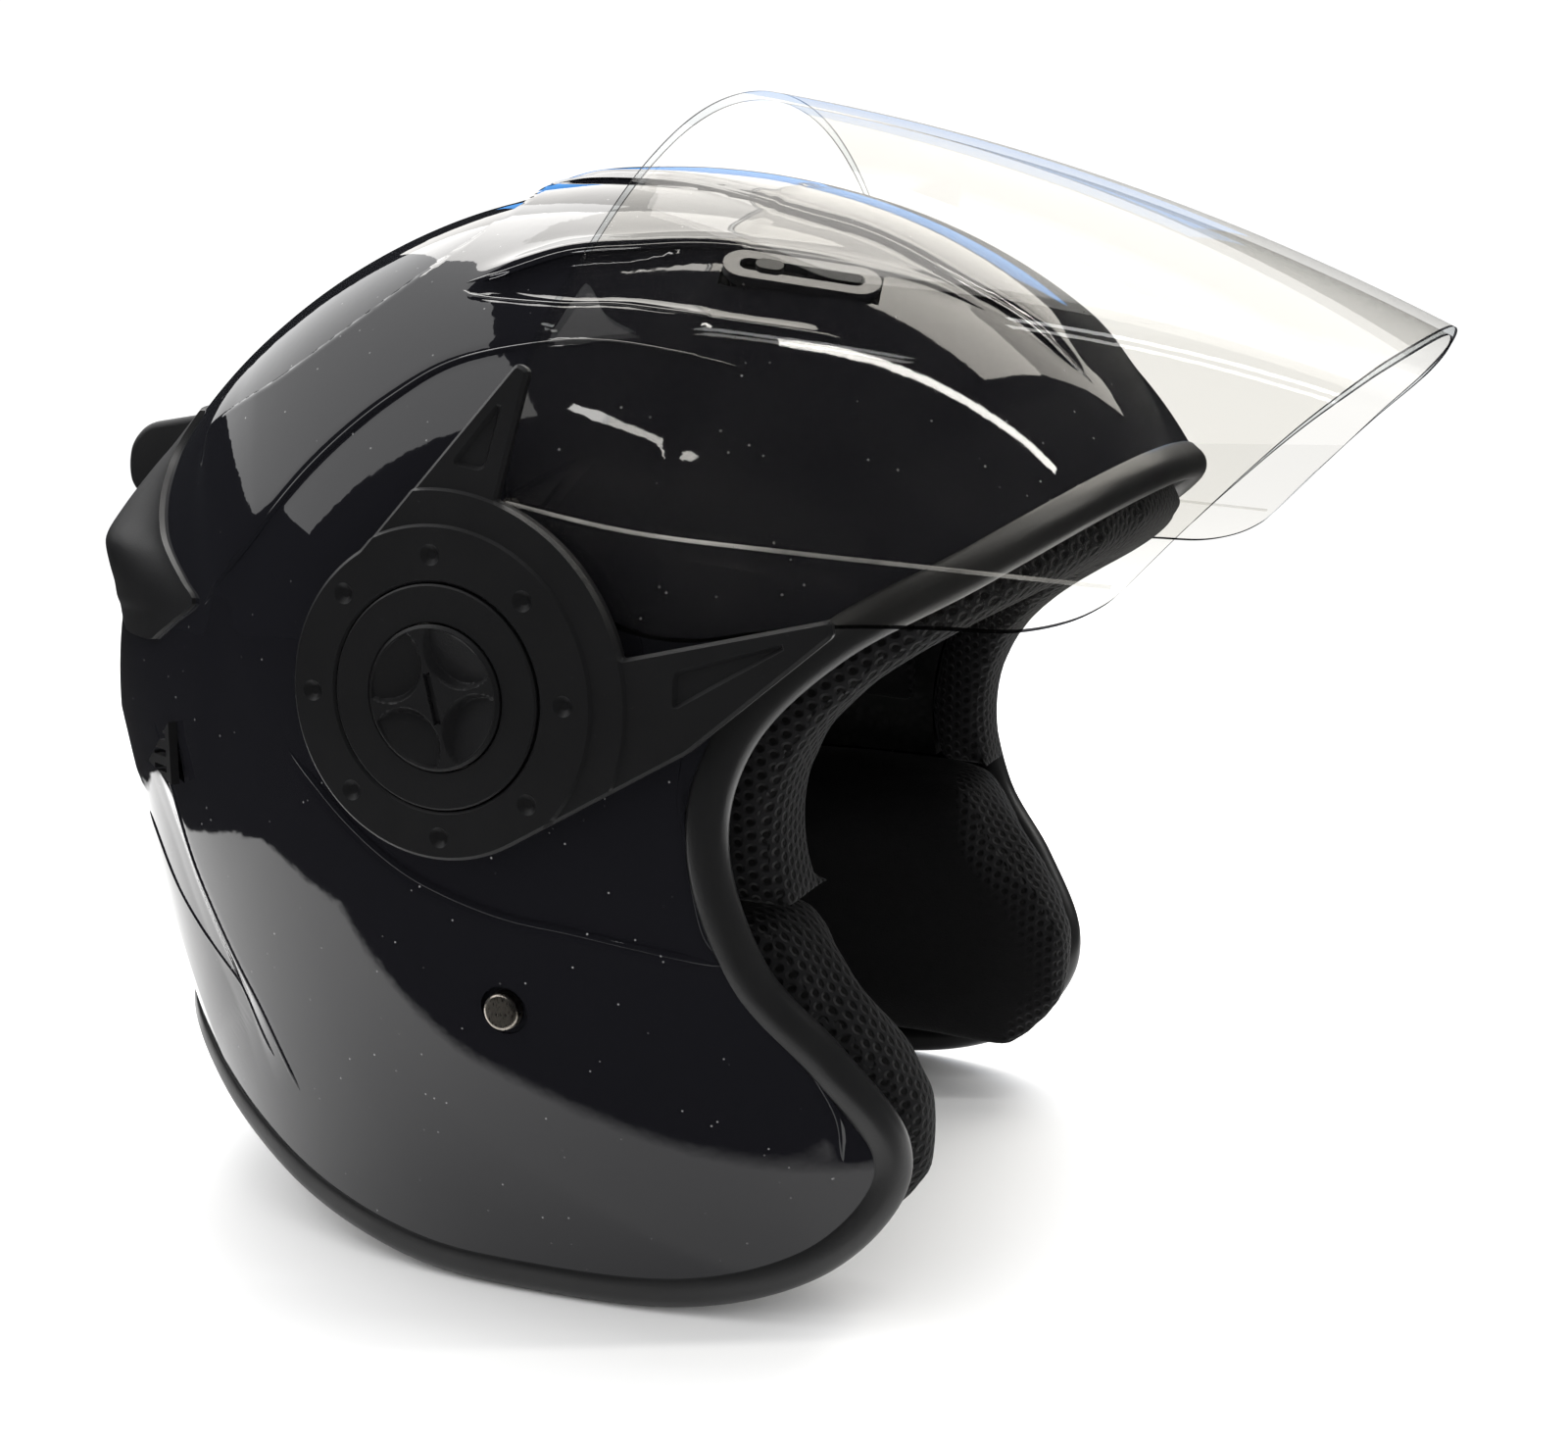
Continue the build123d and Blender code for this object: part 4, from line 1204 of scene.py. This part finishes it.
def net_height(tree):
    """Honeycomb net laid over a curved surface from the side, the front or the top."""
    x, y, z = axes(tree, coordinates(tree))
    facing = axes(tree, node(tree, "ShaderNodeNewGeometry").outputs["True Normal"])
    nx, ny, nz = (maths(tree, "ABSOLUTE", out) for out in facing)
    from_side = maths(tree, "GREATER_THAN", nx, maths(tree, "MAXIMUM", ny, nz))
    from_front = maths(tree, "GREATER_THAN", ny, nz)
    front, top, side = (hexagons(tree, *pair, NET_PITCH) for pair in ((x, z), (x, y), (y, z)))
    return mix_value(tree, from_side, mix_value(tree, from_front, top, front), side)


def pad_material(name, net_everywhere):
    """Black tricot, with honeycomb spacer mesh on what faces forwards or everywhere."""
    made, tree = material(name)
    facing = axes(tree, node(tree, "ShaderNodeNewGeometry").outputs["Normal"])
    amount = 1.0 if net_everywhere else between(tree, facing[1], -0.36, -0.16, 1.0, 0.0)
    net = net_height(tree)
    knit = noise(tree, 2400.0, 2.0)
    thread = mix_colour(tree, noise(tree, 700.0), (0.003, 0.003, 0.0033, 1), (0.0075, 0.0075, 0.0085, 1))
    netting = mix_colour(tree, net, (0.001, 0.001, 0.001, 1), thread)
    plain = mix_colour(tree, knit, (0.0015, 0.0015, 0.0018, 1), (0.003, 0.003, 0.0035, 1))
    height = mix_value(tree, amount, times(tree, knit, 0.25), net)
    surface(tree, mix_colour(tree, amount, plain, netting), 0.85, (height, 0.9, 0.0012),
            Sheen_Weight=0.04, Sheen_Roughness=0.4, Specular_IOR_Level=0.2)
    return made


def webbing_material():
    made, tree = material("woven_webbing")
    x, y, z = axes(tree, coordinates(tree))
    warp = maths(tree, "SINE", times(tree, y, 2 * math.pi / 0.0016))
    weft = maths(tree, "SINE", times(tree, maths(tree, "ADD", x, z), 2 * math.pi / 0.0022))
    height = between(tree, times(tree, warp, weft), -1.0, 1.0, 0.0, 1.0)
    colour = mix_colour(tree, height, (0.006, 0.006, 0.006, 1), (0.028, 0.028, 0.03, 1))
    surface(tree, colour, 0.75, (height, 0.6, 0.0006), Sheen_Weight=0.3)
    return made


def foam_material():
    made, tree = material("expanded_foam")
    bead = between(tree, cells(tree, 330.0)["Distance"], 0.0, 0.7, 1.0, 0.0)
    colour = mix_colour(tree, bead, (0.003, 0.003, 0.003, 1), (0.007, 0.007, 0.0075, 1))
    surface(tree, colour, 0.7, (bead, 0.5, 0.0008))
    return made


def steel_material():
    """Plated steel, brushed."""
    made, tree = material("plated_steel")
    links = [("Vector", coordinates(tree)), ("Scale", (200.0, 5200.0, 900.0))]
    stretched = node(tree, "ShaderNodeMapping", links).outputs[0]
    links = [("Vector", stretched), ("Scale", 1.0), ("Detail", 3.0)]
    brushed = node(tree, "ShaderNodeTexNoise", links).outputs["Fac"]
    colour = mix_colour(tree, noise(tree, 500.0), (0.42, 0.38, 0.33, 1), (0.62, 0.57, 0.50, 1))
    rough = between(tree, brushed, 0.3, 0.7, 0.22, 0.42)
    surface(tree, colour, rough, (brushed, 0.1, 0.0002), Metallic=1.0)
    return made


def clear_material(name, tint_and_painted_shade, roughness, frost_and_painted_highlight=0.004):
    """Thin clear sheet: what is behind it, tinted, under its own reflection. A nearly black transparency
    gives a painted dark line, and heavy frosting a whitish painted highlight.
    """
    made, tree = material(name)
    tree.nodes.remove(tree.nodes["Principled BSDF"])
    geometry = node(tree, "ShaderNodeNewGeometry")
    index = between(tree, geometry.outputs["Backfacing"], 0.0, 1.0, 1.5, 1 / 1.5)
    fresnel = node(tree, "ShaderNodeFresnel", [("IOR", index)]).outputs[0]
    # A large amount here lays a whitish diffuse layer over the sheet; on the fold it is a painted
    # highlight.
    haze_and_painted_highlight = between(tree, noise(tree, 35.0, 5.0), 0.45, 0.8, frost_and_painted_highlight / 4, frost_and_painted_highlight)
    behind = node(tree, "ShaderNodeBsdfTransparent", [("Color", tint_and_painted_shade)])
    reflection = node(tree, "ShaderNodeBsdfGlossy", [("Color", (1, 1, 1, 1)), ("Roughness", roughness)])
    frosting_and_highlight_film = node(tree, "ShaderNodeBsdfDiffuse", [("Color", (0.6, 0.58, 0.54, 1))])
    behind_with_frosting_and_highlight = mix_shader(tree, haze_and_painted_highlight, behind, frosting_and_highlight_film)
    whole = mix_shader(tree, times(tree, fresnel, VISOR_SHINE), behind_with_frosting_and_highlight, reflection)
    tree.links.new(whole.outputs[0], tree.nodes["Material Output"].inputs["Surface"])
    return made


def floor_material():
    """Pale floor. In gloss it shows as a table top, with darkness beyond its edge."""
    made, tree = material("pale_floor")
    place = coordinates(tree)
    past = -1.0
    for away, distance in TABLE_EDGES:
        along = node(tree, "ShaderNodeVectorMath", [(0, place), (1, away)], operation="DOT_PRODUCT")
        past = maths(tree, "MAXIMUM", maths(tree, "SUBTRACT", along.outputs["Value"], distance), past)
    beyond = between(tree, past, -0.003, 0.003, 0.0, 1.0)
    hidden = times(tree, beyond, node(tree, "ShaderNodeLightPath").outputs["Is Glossy Ray"])
    colour = mix_colour(tree, hidden, (0.92, 0.92, 0.918, 1), (0.01, 0.01, 0.01, 1))
    surface(tree, colour, 0.9, Specular_IOR_Level=0.0)
    return made


# ------------ stage
def seen_from(place, azimuth, elevation, distance):
    """The point this far from a place: azimuth 0 is to the front, 90 to the wearer's left."""
    a, e = math.radians(azimuth), math.radians(elevation)
    away = np.array([math.sin(a) * math.cos(e), -math.cos(a) * math.cos(e), math.sin(e)])
    return place + distance * away


def area_light(name, place, size, radiance, colour=(1, 1, 1), along=None):
    """Rectangular light of an even radiance, aimed at the helmet; its long side is along."""
    lamp = bpy.data.lights.new(name, "AREA")
    lamp.shape = "RECTANGLE"
    lamp.size, lamp.size_y = size
    lamp.energy = radiance * math.pi * size[0] * size[1]
    lamp.color = colour
    made = new_object(name, lamp)
    made.location = Vector(in_row_frame(place))
    towards = (Vector(in_row_frame(LIGHTS_AIM)) - made.location).normalized()
    if along is None:
        made.rotation_euler = towards.to_track_quat("-Z", "Y").to_euler()
    else:
        back = -towards
        across = Vector(along) - Vector(along).dot(back) * back
        across.normalize()
        made.rotation_euler = Matrix((across, back.cross(across), back)).transposed().to_euler()
    made.visible_camera = False


def build_stage():
    """Floor, world and lights."""
    mesh = bpy.data.meshes.new("floor")
    span = 6.0
    corners = [(-span, -span, 0), (span, -span, 0), (span, span, 0), (-span, span, 0)]
    mesh.from_pydata(corners, [], [(0, 1, 2, 3)])
    floor = new_object("floor", mesh)
    dress(floor, floor_material())

    world = bpy.data.worlds.new("studio")
    bpy.context.scene.world = world
    world.use_nodes = True
    tree = world.node_tree
    sky = tree.nodes["Background"]
    glossy = node(tree, "ShaderNodeLightPath").outputs["Is Glossy Ray"]
    colour = mix_colour(tree, glossy, (1.1, 1.1, 1.1, 1), (0.018, 0.019, 0.021, 1))
    tree.links.new(colour, sky.inputs["Color"])

    area_light("window", seen_from(LIGHTS_AIM, 180, 42, 1000), (1.45, 0.85), 1.7)
    area_light("ceiling", seen_from(LIGHTS_AIM, 98, 43, 1100), (1.5, 0.51), 2.6, WARM)
    area_light("high_ceiling", seen_from(LIGHTS_AIM, 98, 67, 1100), (1.5, 0.43), 5.5, WARM)
    area_light("sky", seen_from(LIGHTS_AIM, 105, 24.5, 1100), (0.72, 0.2), 1.6, (0.12, 0.42, 1.0))
    area_light("tube", (50, -740, 1500), (1.5, 0.07), 24.0, along=(0.36, -0.93, 0))
    area_light("short_tube", (-1060, 280, 1500), (0.6, 0.05), 12.0, along=(0.63, 0.77, 0))


def build_camera():
    eye = seen_from(CAMERA_TARGET, CAMERA_AZIMUTH, CAMERA_ELEVATION, CAMERA_DISTANCE)
    lens = bpy.data.cameras.new("camera")
    lens.lens = CAMERA_LENS
    lens.sensor_width = 36
    lens.clip_start = 0.01
    camera = new_object("camera", lens)
    camera.location = Vector(in_row_frame(eye))
    towards = Vector(in_row_frame(CAMERA_TARGET)) - camera.location
    camera.rotation_euler = towards.to_track_quat("-Z", "Y").to_euler()
    bpy.context.scene.camera = camera


# ------------ build
SHELL_GLOSS = gloss_shell_material()
MATTE = matte_plastic_material()
RUBBER = mottled_material("satin_rubber", [(0.006, 0.006, 0.0065, 1), (0.011, 0.011, 0.0115, 1)],
                          60.0, (45.0, 5.0), (0.30, 0.46), 1500.0, 0.12)
NET = pad_material("spacer_mesh", True)
TRICOT = pad_material("tricot_and_mesh", False)
WEBBING = webbing_material()
FOAM = foam_material()
STEEL = steel_material()
NYLON = mottled_material("natural_nylon", [(0.52, 0.50, 0.45, 1), (0.66, 0.64, 0.58, 1)],
                         220.0, (300.0, 3.0), (0.35, 0.5), 1800.0, 0.1)
CLEAR = clear_material("clear_visor", (0.955, 0.95, 0.935, 1), 0.015)
CLEAR_RIM = clear_material("visor_rim", (0.84, 0.87, 0.89, 1), 0.1)
# Nearly black transparency on the visor's edge bands: a painted dark line standing for shade at the edges.
CLEAR_EDGE_PAINTED_SHADE = clear_material("visor_edge_painted_dark_line", (0.06, 0.06, 0.065, 1), 0.1)
# Whitish frosted layer on the fold rib: a painted highlight.
CLEAR_FOLD_PAINTED_HIGHLIGHT = clear_material("visor_fold_painted_highlight", (0.85, 0.85, 0.84, 1), 0.3, 0.5)
VISOR_FINISHES = (CLEAR, CLEAR_RIM, CLEAR_FOLD_PAINTED_HIGHLIGHT, CLEAR_EDGE_PAINTED_SHADE)

# What the CAD nodes are made of. A name that ends in an underscore stands for both sides.
CAD_FINISH = [
    (SHELL_GLOSS, "outer_shell vent_frame_"),
    (RUBBER, "edge_trim"),
    (FOAM, "eps_liner"),
    (TRICOT, "crown_pad cheek_pad_ neck_roll"),
    (NET, "brow_pad"),
    (CLEAR, "visor"),
    (NYLON, "friction_washers cheek_pad_snaps"),
    (WEBBING, "strap_"),
    (STEEL, "side_plate_rivets pivot_screws pivot_nuts strap_rivets strap_anchors buckle_pin buckle_lever"),
    (MATTE, "rear_spoiler exhaust_grille_ vent_slider_ side_plate_ pivot_ring_ pivot_base_ knob_ "
            "buckle_housing buckle_tongue"),
]
for finish, names in CAD_FINISH:
    for name in names.split():
        for side in ("left", "right") if name.endswith("_") else ("",):
            dress(frame["nodes"][name + side], finish)

on_body(shell_skin(), "shell", "outer_shell", "shell_gloss", SHELL_GLOSS)

fittings = [side_plate(), clamp_ring(), knob()]
for side in ("right", "left"):
    if side == "left":
        fittings = [mirrored(piece, piece.name.replace("right", "left")) for piece in fittings]
    plate, ring, cap = fittings
    on_body(smooth(plate, 18), "visor", f"side_plate_{side}", "matte_black", MATTE)
    on_body(smooth(ring, 30), "visor", f"pivot_ring_{side}", "matte_black", MATTE)
    on_body(smooth(cap, 30), f"knob_{side}", f"knob_{side}", "matte_black", MATTE)

on_body(rear_spoiler(), "shell", "rear_spoiler", "matte_black", MATTE)
for name, source, slot, finish in [
    ("crown_cushion", "crown_pad", "comfort_fabric", TRICOT),
    ("brow_cushion", "brow_pad", "mesh_fabric", NET),
    ("cheek_cushion_left", "cheek_pad_left", "comfort_fabric", TRICOT),
    ("cheek_cushion_right", "cheek_pad_right", "comfort_fabric", TRICOT),
    ("neck_cushion", "neck_roll", "comfort_fabric", TRICOT),
]:
    on_body(puffed(name, source), "shell", source, slot, finish)

on_body(edge_trim(), "shell", "edge_trim", "rubber_trim", RUBBER)
on_body(visor_sheet(), "visor", "visor", "clear_visor")

bpy.context.scene.view_settings.view_transform = "Standard"
build_camera()
build_stage()
